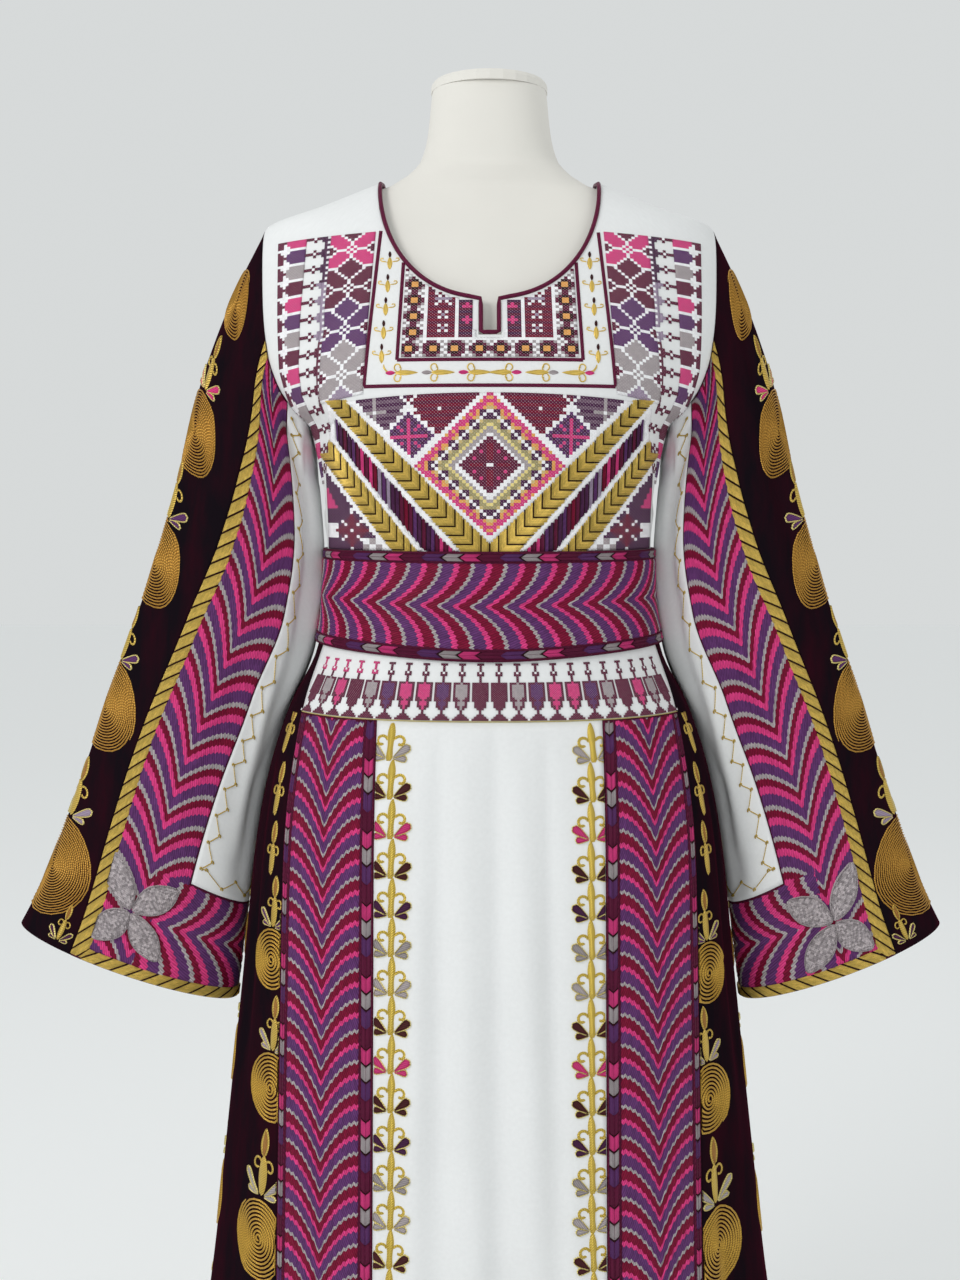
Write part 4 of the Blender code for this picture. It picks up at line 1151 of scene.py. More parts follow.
def build_skirt_bands():
    """Feather stitch between arrow braids down both front bands of the skirt."""
    cycle = sizes().feather_cycle * SKIRT_CYCLE_SHARE
    top, bottom = HIP_SEAM_Z - 0.0008, HEM_Z + 0.0015
    edges = [band_share(share) for share in BAND_SHARES]
    for side, sign, begin in (("left", -1, 0.004), ("right", 1, 0.016)):
        work = Patchwork()
        surface, length = skirt_strip(sign, edges[3], edges[4], band_share(SPINE_SHARE), top, bottom)
        striped(work, surface, length, stripes_of(SKIRT_FEATHER), cycle, SKIRT_SWEEP,
                feather_profile(SKIRT_BEND), 32, jag=SKIRT_JAG, height=sizes().stitch_height,
                start=begin + 0.009, spine_dip=0.0004)
        for first, last, phase, sweep, line_half in SKIRT_BRAIDS:
            centre = band_share((BAND_SHARES[first] + BAND_SHARES[last]) / 2)
            braid, reach = skirt_strip(sign, edges[first], edges[last], centre, top, bottom)
            arrow_braid(work, braid, reach, cycle * SKIRT_BRAID_CYCLES, sweep, phase + begin, line_half)
        work.finish(f"skirt_band_stitching_{side}", "satin_stitch", "feather")


def build_belt_stitching():
    """Feather stitch round the belt with an arrow braid along its top and its foot."""
    deg = np.linspace(180, -180, 721)
    table = arc_table(belt_place(0.0, deg))
    length = float(table[-1])
    repeats = round(length / sizes().feather_cycle)
    work = Patchwork()

    def lane(low, high):
        def surface(a, s, out):
            return belt_place(low + (high - low) * (a + 1) / 2, np.interp(s, table, deg), out)
        return surface
    striped(work, lane(-0.79, 0.79), length, stripes_of(BELT_FEATHER), length / repeats, BELT_SWEEP,
            feather_profile(BELT_BEND), 40, jag=JAG, height=0.0011, start=0.003, spine_dip=0.0003)
    for low, high in ((-0.965, -0.815), (0.815, 0.965)):
        arrow_braid(work, lane(low, high), length, length / round(length / BELT_BRAID_CYCLE), 0.0055, 0.012,
                    0.1, 360)
    work.finish("belt_stitching", "satin_stitch", "feather")


def sleeve_strip_surface(side, first, last, raised=0.0, start=0.0, end=1.0):
    """surface(a, s, out) of a lengthwise strip of a sleeve and its length."""
    skin = sleeve(side)
    share = np.linspace(start, end, 160)
    table = arc_table(skin((first(share) + last(share)) / 2, share))

    def surface(a, s, out):
        at = np.interp(s, table, share)
        deg = first(at) + (last(at) - first(at)) * (a + 1) / 2
        return skin(deg, at, raised + out)
    return surface, float(table[-1])


def inset(seam, degrees):
    return lambda share: seam(share) + degrees


def build_sleeve_bands():
    """Feather stitch down the sleeves and round the cuffs, and their gold strips and hem edges."""
    tones = shades()
    feather = {"profile": feather_profile(SLEEVE_BEND), "jag": JAG, "height": sizes().stitch_height,
               "spine_dip": 0.0004}
    # The strip's bars: a gold stripe, a lighter gold stripe that is a painted highlight, and a dark outline
    gold = [(tones["gold"] * 1.02, 0.40), (tones["gold"] * 1.16, 0.43), (tones["outline"], 0.17)]
    for side in SLEEVE_SIDES:
        work = Patchwork(middle_of_sleeve(side))
        surface, length = sleeve_strip_surface(side, inset(BAND_UNDER, 0.6), inset(BAND_FRONT, -0.6), 0.0,
                                               0.004, HEM_EDGE_TOP - 0.003)
        striped(work, surface, length, stripes_of(SLEEVE_FEATHER), SLEEVE_CYCLE, SLEEVE_SWEEP, columns=44,
                start=0.004 if side == "left" else 0.013, **feather)
        skin = sleeve(side)
        deg = np.linspace(VELVET_BACK_DEG - 360, 85.0, 250)
        middle = CUFF_TOP + (HEM_EDGE_TOP - CUFF_TOP) / 2
        table = arc_table(skin(deg, np.full(250, middle)))

        def cuff(a, s, out):
            at = np.interp(s, table, deg)
            low, high = CUFF_TOP + 0.003, HEM_EDGE_TOP - 0.003
            share = low + (high - low) * (a + 1) / 2
            return skin(at, share, out + np.where(at > BAND_UNDER(share) - 0.8, 0.0008, 0.0))
        striped(work, cuff, float(table[-1]), stripes_of(CUFF_FEATHER), CUFF_CYCLE, CUFF_SWEEP, columns=36,
                start=0.002, **feather)
        work.finish(f"sleeve_stitching_{side}", "satin_stitch", "feather")
        gilt = Patchwork(middle_of_sleeve(side))
        strip, reach = sleeve_strip_surface(side, inset(VELVET_FRONT, 0.3), inset(BAND_FRONT, -2.0), 0.0009,
                                          0.003, 0.997)
        striped(gilt, strip, reach, gold, STRIP_CYCLE, STRIP_SLANT, slanted, 8, height=GILT_HEIGHT)
        turns = np.linspace(VELVET_BACK_DEG - 359.5, 110.0, 260)
        hem = arc_table(skin(turns, np.full(260, 0.992)))

        def edge(a, s, out):
            return skin(np.interp(s, hem, turns), 0.9888 + a * 0.0106, 0.001 + out)
        striped(gilt, edge, float(hem[-1]), gold, EDGE_CYCLE, EDGE_SLANT, lambda a: slanted(-a), 8,
                height=GILT_HEIGHT)
        gilt.finish(f"sleeve_gold_{side}", "gold_satin", "gold")


# ---- chest embroidery
CELL = 0.00285
CELL_RISE = 0.00272
CROSS_STITCH_HEIGHT = 0.0007
LINE_STEP = 0.0025
# Columns down the sides of the chest: height and distance from the middle of the edges between them
TABS_OUTER = ((1.185, .1462), (1.205, .1530), (1.217, .1556), (1.236, .1598), (1.2465, .1652), (1.257, .1714),
              (1.2714, .1757), (1.2918, .1806), (1.33, .1815), (1.3985, .1825))
LEAF_OUTER = ((1.185, .1452), (1.205, .1470), (1.217, .1478), (1.236, .1475), (1.2565, .1560),
              (1.2676, .1600), (1.2944, .1625), (1.33, .1605), (1.3985, .1560))
LEAF_INNER = ((1.185, .1440), (1.217, .1398), (1.2358, .1350), (1.2529, .1412), (1.2676, .1452),
              (1.285, .1457), (1.33, .1430), (1.3985, .1395))
STAR_OUTER = ((1.256, .1442), (1.3985, .1342))
STAR_INNER = ((1.256, .1052), (1.3985, .0961))
BLANK = np.full(3, np.nan)


def edge_at(table, z):
    """Reads a two-column table in straight lines."""
    rows = np.array(table)
    return np.interp(z, rows[:, 0], rows[:, 1])


def cells(work, surface, columns, rows, spot, chart, names, spread=0.14):
    """Cross stitch: spot(u, v) gives places on the surface, and chart(i, j, a, b) the number of each cell's
    thread among the names, or -1 for no stitch. The spread is how unevenly the threads are dyed."""
    tones = np.array([*threads(names), BLANK])

    def place(u, v):
        return surface(*spot(u, v), np.full(len(u), CROSS_STITCH_HEIGHT))

    def colour(u, v):
        index = chart(np.floor(u * columns).astype(int), np.floor(v * rows).astype(int), *spot(u, v))
        return tones[index] * (1 - spread / 2 + spread * RNG.random(len(index)))[:, None]
    work.patch(columns, rows, place, colour, lambda u, v: (u * columns, v * rows))


def column_spot(sign, outer, inner, rows):
    """Places in a column between two edge tables; u runs outwards, and the rows sag towards the arm."""
    def spot(u, v):
        r = v * rows
        level = 1.3963 - 0.00212 * r - 4.0e-6 * r * r
        x = edge_at(inner, level) + (edge_at(outer, level) - edge_at(inner, level)) * u
        x = np.minimum(x, armhole_x(level) - 0.0012)
        return sign * x, level - (0.06 + 0.0019 * r) * (x - 0.118)
    return spot


def neck_z(x):
    """Height of the cut neck edge at a distance from the middle."""
    edge_x, edge_z = neck_edge(np.linspace(0, 90, 91), False)
    return np.interp(np.abs(x), edge_x, edge_z)


def star_chart(i, j, a, b):
    """Four-petal stars between dotted diamonds, a repeat of 13 by 15 cells."""
    white, ground, petal0, diamond0 = 0, 1, 2, 6
    across = np.abs(i - 6)
    from_star = (j + 1) % 15 - 7
    star = np.clip((j + 1) // 15, 0, 3)
    near = np.abs(from_star)
    gem = np.clip(star + (from_star > 0) - 1, 0, 3)
    to_gem, to_side = across + 7.5 - near, across - near
    index = petal0 + star
    index[to_side > 4] = ground
    index[(to_side == 4) | (across == near) & (near <= 1)] = white
    index[(near == 0) & (across >= 2) & (across <= 4)] = white
    index[(across == 0) & (near >= 2) & (near <= 3)] = white
    index[(from_star == 7) & (across >= 4) | (to_gem < 5)] = white
    return np.where(to_gem < 4, diamond0 + gem, index)


def chart_of(rows, codes):
    """A small chart written as rows of letters, as numbers by row and column."""
    return np.array([[codes.index(letter) for letter in row] for row in rows])


# One repeat of the side tabs, outer edge first: b burgundy, w white, k the tab's own colour
TAB = ("wwwwwwwww", "bwwwkkkkk", "bbwkkkkkk", "bbbkkkkkk", "bbwkkkkkk", "bbwwkkkkk")
# One repeat of the leaves beside them, inner edge first: . bare cloth, b burgundy, w white, g graded tone
LEAF = (".......", ".......", "g..b...", "ggbwbbb", "g..b...", ".......")


def tab_chart(i, j, a, b):
    """Coloured tabs between white stars with a long arm, a repeat of 6 rows."""
    letters = chart_of(TAB, "bwk")
    code = letters[(j + 3) % 6, 8 - i]
    return np.where(code == 2, 2 + (j + 3) // 6 % 4, code)


def thirds(j):
    """0, 1 or 2 for the upper, middle and lower part of a side column."""
    return (j > 17) * 1 + (j > 38)


def leaf_chart(i, j, a, b):
    """Bare white leaf shapes with a small dark diamond between each two, a repeat of 6 rows."""
    letters = chart_of(LEAF, ".bwg") - 1
    code = letters[(j + 3) % 6, i]
    return np.where(code == 2, 2 + thirds(j), code)


def graded_chart(i, j, a, b):
    """The narrow strip beside the stars, slate above, grey in the middle and burgundy below."""
    return np.where((i == 0) & (j % 2 == 0), 3, thirds(j))


NECK_THREADS = "stitched_white burgundy amber outline grey lavender plum pink dark_red"


def neck_chart(i, j, a, b):
    """Flower squares round ribbed blocks beside the neck slit; columns of 50 cells, rows from the top."""
    white, rib, amber, dark, grey, pale, plum, pink, red = range(9)
    centres = np.array([3.0, 9.7, 16.4, 23.1])

    def flower(p, q, odd):
        reach = np.maximum(p, q)
        ground = np.where(odd, grey, white)
        ring = np.where((reach < 2.7) & (p + q < 3.7), np.where(p + q > 2.6, rib, dark), ground)
        return np.where(reach < 1.1, amber, ring)

    m, n = np.abs(i + 0.5 - 25), NECK_ROWS - 1 - j
    odd = (i + j) % 2 == 0
    foot = flower(np.abs(m[:, None] - centres).min(1), np.abs(n - 2.5), odd)
    side = flower(np.abs(m - 22), np.abs(n % 6 - 2.5), odd)
    q, p = np.min([np.abs(n - 10), np.abs(n - 15), np.abs(n - 21)], axis=0), np.abs(m - 13.5)
    reach = np.where(n > 17, 2.6, 1.6)
    star = (np.maximum(p, q) < reach) & ((np.abs(p - q) < 0.6) | (q == 0) & (p > 0.6) & (n > 17))
    block = np.where(star, np.where(q == 0, pale, white), np.where(n % 2 == 0, rib, red))
    off = np.abs(m - 6.5)
    heart = (off < 1.6) & np.isin(n, (13, 18)) | (off < 0.6) & np.isin(n, (12, 14, 19))
    narrow = np.where(heart, pink, np.where(n % 2 == 0, plum, rib))
    index = np.select([n < 6, m > 19, m > 18, n == 6, m > 10, m > 9, m > 5, m > 4],
                      [foot, side, white, white, block, white, narrow, white], -1)
    open_neck = b > neck_z(a) - 0.002
    slit = (np.abs(a) < SLIT_HALF + 0.0035) & (b > SLIT_BOTTOM_Z - 0.0035)
    return np.where(open_neck | slit, -1, index)


NECK_ROWS = 49
NECK_RISE = 0.00228
NECK_FOOT_Z = 1.289
LOWER_TOP_Z = 1.2597
LOWER_COLUMNS, LOWER_ROWS = 100, 48
# Edges of the diagonal bands: heights and distances from the middle at their two ends
BAND1_INNER = ((1.109, -0.0294), (1.1336, -0.0044), (1.256, 0.12))
BAND1_OUTER = ((1.109, 0.0089), (1.1336, 0.0309), (1.256, 0.1406))
BAND2_INNER = ((1.109, 0.0429), (1.2161, 0.128), (1.224, 0.1343))
BAND2_OUTER = ((1.109, 0.069), (1.202, 0.1425), (1.224, 0.16))
BAND_FOOT = 1.112
LOWER_THREADS = "stitched_white burgundy moss tan plum amber pink purple grey dark_red pale_gold dusk"


def lower_chart(i, j, a, b):
    """Nested diamonds and triangles of the lower chest, with stepped white edges along the bands."""
    white, red, moss, gold, plum, amber, pink, purple, grey, wine, pale, dusk = range(12)
    m = np.floor(np.abs(i + 0.5 - LOWER_COLUMNS / 2)).astype(int)
    n, below = np.abs(j - 21), j > 21
    s = m + n
    odd = (m + j) % 2 == 0
    # dark squares of three cells on the diagonal, with a white dot at each step
    k = np.clip(np.rint((m - 1) / 3), 0, 5).astype(int)
    squares = (np.abs(m - 1 - 3 * k) <= 1) & (np.abs(n - 15 + 3 * k) <= 1)
    cross = ((m == 0) & (n > 1) & (n < 7)) | ((n == 0) & (m > 1) & (m < 6))
    spots = ((m % 2 == 0) & (n % 2 == 0) & (s % 4 == 2)) & (m > 0) & (n > 0)
    core = np.where(s == 0, white, np.where(cross | spots, wine, red))
    core[spots & (s == 6)] = pink
    big = np.select(
        [s <= 8, (s == 9) | (below & (s == 10)), s <= 11, s <= 13, s <= 15, s <= 18, s <= 21, s <= 23],
        [core, white, grey, np.where(odd, moss, pale), np.where(odd, gold, moss),
         np.where(odd, gold, amber), np.where((m + 2 * n) % 5 == 0, amber, pink), white], -1)
    big = np.where(squares, np.where(s == 16, white, plum), big)
    p, q = np.abs(m - 23), np.abs(j - 12)
    r = p + q
    gem = np.where((p == 0) & (q < 6) | (q == 0) & (p < 6), pink, np.where(odd, purple, plum))
    gem[(p == q) & (p > 1) & (p < 4)] = pink
    cloudy = (np.abs(m - 33) < 1) & (j < 10) | (j == 4) & (m > 29) & (m < 37)
    roof = np.where(m > 23, np.where(cloudy, grey, np.where(j % 2 == 0, plum, dusk)),
                    np.where(j % 2 == 0, red, wine))
    roof[(j == 4) & ((m == 14) | (m == 33))] = white
    crossing = np.abs(m - 23) == np.abs(j - 2)
    ring = (p // 2 + (q + 1) // 2 == 4) | (p // 2 + (q + 1) // 2 == 5) & (q > 8)
    index = np.where(s > 23, np.select([r <= 7, ring & (r <= 10)], [gem, white], roof), big)
    index[(s > 23) & crossing & (j < 5)] = white
    x = np.abs(a)
    inner1, outer1, inner2, outer2 = (edge_at(table, b) for table in (BAND1_INNER, BAND1_OUTER,
                                                                    BAND2_INNER, BAND2_OUTER))
    index[(x > inner1 - np.where(below, 1.0, 2.0) * CELL) & (s > 21)] = white
    # the corner under the outer band: a burgundy star, a pink wedge and white blocks on dark purple
    u, w = np.abs(m - 41), np.abs(j - 41)
    low = np.where((j > 43) & (m < 38), np.where((m // 2 + j // 2) % 2 == 0, white, grey), plum)
    low[(m > 50 - 0.55 * (j - 25)) & (j < 34)] = pink
    low[(m > 45) & (w < 3)] = white
    low[(u + w < 8) & (u + w > 5) & ((u == w) | (u == 0) | (w == 0))] = white
    core = np.where((u == w) | (np.minimum(u, w) == 0) & (u + w > 1), wine, red)
    low = np.where(u + w <= 5, np.where((u == 2) & (w == 2) | (u + w == 0), white, core), low)
    index[x > inner1] = white
    index = np.where(x > outer2, np.where(x < outer2 + CELL, white, low), index)
    hidden = (x > inner1 + CELL) & (x < outer1 - CELL) | (x > inner2 + CELL) & (x < outer2 - CELL)
    hidden |= (x > outer1 + 1.5 * CELL) & (x < inner2 - CELL)
    outside = (x > edge_at(LEAF_INNER, b)) | ((b > 1.254) & (x > 0.105))
    return np.where(hidden | outside, -1, index)


def edge_height(table, x):
    """Height at which a diagonal edge is at a distance from the middle."""
    rows = np.array(table)
    return np.interp(x, rows[:, 1], rows[:, 0])


def chevron_band(work, sign, inner, outer, top, tones):
    """Gold satin corners nested down a diagonal band, each with a dark line below and beside it; the gold of
    each is laid as a lighter, a plain and a darker stripe, as painted highlight and painted shade.
    """
    def surface(a, s, out):
        z = top - s
        middle = (edge_at(inner, z) + edge_at(outer, z)) / 2
        level_x = middle + (edge_at(outer, z) - middle) * np.clip(-a, 0, 1)
        edge = edge_height(inner, middle)
        upright_z = z + (edge - z) * np.clip(a, 0, 1)
        x = np.maximum(np.where(a < 0, level_x, middle), 0.0)
        high = np.clip(np.where(a > 0, upright_z, z), 1.127, 1.2575)
        return chest(sign * x, high, out)
    # lighter and darker copies of the gold: painted highlight and painted shade across each corner
    gold = [(tones["gold"] * 1.14, 0.28), (tones["gold"], 0.32), (tones["gold"] * 0.8, 0.24),
            (tones["outline"] * 0.8, 0.16)]
    striped(work, surface, top - BAND_FOOT, gold, 0.0076, 0.0, np.zeros_like, 8, height=0.0017)


STRIPE_TONES = ("purple plum burgundy plum purple burgundy pink burgundy pink dark_red lavender purple "
                "lavender plum plum burgundy dark_red burgundy")
STRIPE_WIDTH = 0.0037


def stripe_band(work, sign, tones):
    """Upright satin stripes between the two gold bands."""
    wide, narrow = 0.131, 0.0278

    def surface(a, s, out):
        x = wide - s
        high = edge_height(BAND1_OUTER, x - 0.0008)
        low = edge_height(BAND2_INNER, x + 0.0016)
        z = np.maximum(high + (low - high) * (a + 1) / 2, 1.1285)
        return chest(sign * x, z, out)
    stripes = [pair for tone in threads(STRIPE_TONES) for pair in ((tone, 0.84), (tones["outline"], 0.16))]
    striped(work, surface, wide - narrow, stripes, STRIPE_WIDTH * len(stripes) / 2, 0.0, np.zeros_like, 6,
            height=0.0014)


def dense(points):
    """Points every few millimetres along straight lines."""
    out = []
    for (a0, b0), (a1, b1) in zip(points, points[1:]):
        count = max(2, int(math.hypot(a1 - a0, b1 - b0) / LINE_STEP))
        out += [(a0 + (a1 - a0) * k / count, b0 + (b1 - b0) * k / count) for k in range(count)]
    out.append(points[-1])
    return np.array(out).T


OUTER_FRAME = ((-.0919, 1.3984), (-.1042, 1.2655), (.1040, 1.2655), (.0917, 1.397))
INNER_FRAME = ((-.0722, 1.37), (-.0765, 1.2868), (.0766, 1.2868), (.0722, 1.37))


def curl(turns, radius, count, inner):
    """A scroll that starts at the origin heading ahead, turns right and winds in."""
    angle = np.linspace(0, turns * 2 * math.pi, count)
    reach = radius * (1 - (1 - inner) * np.linspace(0, 1, count))
    x = np.cumsum(np.concatenate([[0], np.diff(angle) * reach[1:] * np.sin(angle[1:])]))
    y = np.cumsum(np.concatenate([[0], np.diff(angle) * reach[1:] * np.cos(angle[1:])]))
    return x, y


def lens(count=9, power=0.8):
    """Half widths of a leaf, pointed at both ends, as shares of the widest."""
    return np.sin(np.linspace(0, math.pi, count)) ** power


def drop():
    """Half widths of a teardrop, narrow at its start and round at its end."""
    t = np.linspace(0, 1, 11)
    return (0.12 + 0.88 * t) * np.sqrt(np.clip(1 - t ** 5, 0, 1)) * np.sqrt(np.clip(t * 12, 0, 1))


class Motif:
    """A local frame on a surface for stitched shapes: a to the right and b ahead, in metres."""

    def __init__(self, surface, at, steps, heading_deg=0.0):
        """steps are how far the surface's own two measures are walked each way to be told in metres."""
        self.surface, self.walks = surface, []
        self.cos, self.sin = math.cos(math.radians(heading_deg)), math.sin(math.radians(heading_deg))
        for k in (0, 1):
            places = [np.full(41, float(at[0])), np.full(41, float(at[1]))]
            places[k] = at[k] + np.linspace(-1, 1, 41) * steps[k]
            far = arc_table(surface(*places, 0.0))
            self.walks.append((far - far[20], places[k]))

    def lay(self, p, q, out):
        """Points at places that are in metres from the middle of the frame."""
        right, ahead = p * self.cos + q * self.sin, q * self.cos - p * self.sin
        return self.surface(np.interp(right, *self.walks[0]), np.interp(ahead, *self.walks[1]), out)

    def stroke(self, work, a, b, half, colour, height=0.0011, across=2):
        """A stitched line or leaf through local places; half may vary along it."""
        work.ribbon(self.lay, a, b, half, colour, height, across)

    def leaf(self, work, start, end, half, colour, shape=None, height=0.0012, outline=None,
             outline_half=0.0005):
        """A leaf or a teardrop from one local place to another, with a fine cord round it."""
        widths = half * (lens() if shape is None else shape)
        t = np.linspace(0, 1, len(widths))
        run = np.array(end, float) - start
        a, b = start[0] + run[0] * t, start[1] + run[1] * t
        self.stroke(work, a, b, widths, colour, height, 4)
        if outline is None:
            return
        cord_work, cord_colour = outline
        side = np.array([-run[1], run[0]]) / np.hypot(*run)
        rim_a = np.concatenate([a + side[0] * widths, (a - side[0] * widths)[::-1][1:]])
        rim_b = np.concatenate([b + side[1] * widths, (b - side[1] * widths)[::-1][1:]])
        self.stroke(cord_work, rim_a, rim_b, outline_half, cord_colour, height + 0.0003)


def chest_sprig(work, at, heading, tones, tip):
    """A small gold plant: a dark bud above, a long body and two arms that curl up at their ends."""
    sprig = Motif(chest, at, (0.02, 0.02), heading)
    gold = tones["gold"] * 1.08
    sprig.leaf(work, (0, 0.003), (0, 0.0092), 0.0016, tip)
    sprig.leaf(work, (0, -0.0085), (0, 0.004), 0.0027, gold)
    for side in (-1, 1):
        sprig.stroke(work, side * np.array([0.0012, 0.004, 0.0066, 0.0079, 0.0076, 0.0058, 0.005]),
                     np.array([-0.0012, -0.0006, -0.0002, 0.0008, 0.0024, 0.0026, 0.0012]), 0.00075, gold)


def foot_sprig(work, at, heading, tones, tip):
    """A gold bud with a scroll on each side, lying along the foot of the panel behind a coloured bud."""
    sprig = Motif(chest, at, (0.03, 0.02), heading)
    gold = tones["gold"] * 1.08
    sprig.leaf(work, (0, 0.0025), (0, 0.0115), 0.0022, tip)
    sprig.leaf(work, (0, 0.0042), (0, -0.0172), 0.0028, gold, shape=lens(9) * np.linspace(1.25, 0.6, 9))
    for side in (-1, 1):
        x, y = curl(0.85, 0.0036, 13, 0.5)
        sprig.stroke(work, side * (0.0012 + x), 0.001 + y, 0.0008, gold)
        x, y = curl(0.5, 0.0024, 8, 0.6)
        sprig.stroke(work, side * (0.0014 + x), -0.0008 - y * 0.8, 0.0007, gold)


# Columns beside the opening: cells across and down, outer and inner edge, chart and its threads
SIDE_COLUMNS = (
    (13, 59, STAR_OUTER, STAR_INNER, star_chart,
     "stitched_white burgundy pink burgundy purple grey burgundy purple grey lavender"),
    (2, 59, LEAF_INNER, STAR_OUTER, graded_chart, "plum lavender burgundy stitched_white"),
    (7, 83, LEAF_OUTER, LEAF_INNER, leaf_chart, "burgundy stitched_white plum lavender burgundy"),
    (9, 83, TABS_OUTER, LEAF_OUTER, tab_chart, "burgundy stitched_white pink purple grey burgundy"))


def build_chest():
    """Cross stitch, gold bands, frames and sprigs of the chest."""
    tones = shades()
    stitched = Patchwork()
    for sign in (-1, 1):
        for columns, rows, outer, inner, chart, names in SIDE_COLUMNS:
            cells(stitched, chest, columns, rows, column_spot(sign, outer, inner, rows), chart, names)

    def neck_spot(u, v):
        z = NECK_FOOT_Z + NECK_ROWS * NECK_RISE * (1 - v)
        return (2 * u - 1) * (0.0732 - 0.042 * (z - NECK_FOOT_Z)), z
    cells(stitched, chest, 50, NECK_ROWS, neck_spot, neck_chart, NECK_THREADS)

    def lower_spot(u, v):
        x = (2 * u - 1) * LOWER_COLUMNS * CELL / 2
        return x, LOWER_TOP_Z - LOWER_ROWS * CELL_RISE * v - 0.0045 * (x / 0.105) ** 2 * (1 - v)
    cells(stitched, chest, LOWER_COLUMNS, LOWER_ROWS, lower_spot, lower_chart, LOWER_THREADS)
    thicken(stitched.finish("chest_cross_stitch", "cross_stitch", "chest"), STITCH_WALL)
    satin = Patchwork()
    gilt = Patchwork()
    for sign in (-1, 1):
        chevron_band(gilt, sign, BAND1_INNER, BAND1_OUTER, 1.256, tones)
        chevron_band(gilt, sign, BAND2_INNER, BAND2_OUTER, 1.213, tones)
        stripe_band(satin, sign, tones)
        for k in range(5):
            chest_sprig(gilt, (sign * (0.0838 + 0.0056 * k / 4), 1.3716 - 0.0199 * k), 0, tones,
                        tones["outline"] * 1.6)
        corner = Motif(chest, (sign * 0.086, 1.2775), (0.02, 0.02))
        corner.stroke(gilt, np.array([0.0022, 0.0014, -0.0006, -0.004]) * sign,
                      np.array([0.007, 0.003, 0.0004, -0.0006]), 0.0011, tones["gold"])
        for k in range(3):
            tip = tones["grey"] if k == 1 else tones["pink"]
            foot_sprig(gilt, (sign * (0.0752 - 0.0302 * k), 1.2762), sign * 90, tones, tip)
    for frame_line in (OUTER_FRAME, INNER_FRAME):
        for ends in zip(frame_line, frame_line[1:]):
            a, b = dense(ends)
            satin.ribbon(chest, a, b, 0.0015, tones["burgundy"], height=0.0016, edge=0.0003)
    satin.finish("chest_satin", "satin_stitch", "chest")
    gilt.finish("chest_gold", "gold_satin", "gold")


NECK_AXIS_Z = 1.15


def build_piping():
    """Burgundy piping round the neck and its slit, and along the shoulder seams."""
    tones = shades()
    reach = PIPING_RADIUS + SEAM
    turns = np.linspace(9, 88, 40)

    def inside(x, z):
        run_x, run_z = np.gradient(x), np.gradient(z)
        length = np.hypot(run_x, run_z)
        return x - run_z / length * reach, z + run_x / length * reach
    x, z = inside(*neck_edge(turns, False))
    keep = x > SLIT_HALF + reach * 0.4
    x, z = x[keep], z[keep]
    slit_x = SLIT_HALF - reach
    slit = [(0.0, SLIT_BOTTOM_Z + reach), (slit_x * 0.7, SLIT_BOTTOM_Z + reach),
            (slit_x, SLIT_BOTTOM_Z + reach * 1.4), (slit_x, SLIT_BOTTOM_Z + 0.012),
            (slit_x, NECK_BOTTOM_Z - 0.004), (slit_x + 0.0006, NECK_BOTTOM_Z + reach * 0.6)]
    neck_x = NECK_HALF - reach
    front = np.concatenate([slit, np.stack([x, z], 1), [(neck_x, float(shoulder_z(neck_x)))]])
    back_x, back_z = inside(*neck_edge(np.linspace(0, 88, 30), True))
    right = np.concatenate([chest(*front.T, 0.0004),
                            dress(back_z, direction_of(back_x, back_z, True), 0.0004)[::-1]])
    path = np.concatenate([right, (right * (-1, 1, 1))[::-1]])
    work = Patchwork(lambda points: path[((points[:, None] - path[None]) ** 2).sum(2).argmin(1)])
    ahead = unit(np.roll(path, -1, 0) - np.roll(path, 1, 0))
    side = unit(np.cross(ahead, unit(path - (0, 0, NECK_AXIS_Z))))
    lift = unit(np.cross(side, ahead))
    steps = len(path)

    def place(u, v):
        k = step(v, steps) % steps
        angle = 2 * math.pi * u
        return path[k] + PIPING_RADIUS * (side[k] * np.cos(angle)[:, None] + lift[k] * np.sin(angle)[:, None])
    work.patch(10, steps, place, tones["burgundy"], lambda u, v: (u * 0.011, v * steps * 0.004))
    made = work.finish("neck_piping", "satin_stitch", "piping")
    weld(made, PIPING_WELD)
    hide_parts("neck_binding")
    seams = Patchwork()
    for sign in (-1, 1):
        x = np.linspace(NECK_HALF + 0.001, SLEEVE[0][1] - 0.003, 40)
        z = shoulder_z(x)
        ridge = dress(z - 0.0002, direction_of(sign * x, z), 0.0) * (1, 0, 1)

        def lay(a, b, out):
            centre = np.stack([np.interp(np.abs(a), np.abs(ridge[:, 0]), column) for column in ridge.T], 1)
            centre[:, 0] = a
            return centre + np.stack([0 * a, b, out], 1)
        seams.ribbon(lay, ridge[:, 0], 0 * x, 0.0013, tones["burgundy"], 0.0024, across=4, edge=-0.0006)
    seams.finish("shoulder_piping", "satin_stitch", "piping")


# ---- hip band
# One tooth from its top: . bare cloth, B burgundy, T tip, C the tooth's own colour, W white
TOOTH = ("..TTT...", *["...T...."] * 3, "..TWT...", "..TTT...", *["...B...."] * 3, "BBBCBBB.",
         *["BCCCCCB."] * 6, "BBCCCBB.", "BBBCBBB.", *[".BCCCB.."] * 2, ".BBCBB..", "..BCB...",
         *["...B...."] * 2, "..BBB...", ".BBBBB..", "BBBBBBBW")
TOOTH_COLOURS = "burgundy grey purple pink pink purple grey burgundy pink grey burgundy"
TEETH = 22
TEETH_TOP_Z = 1.035


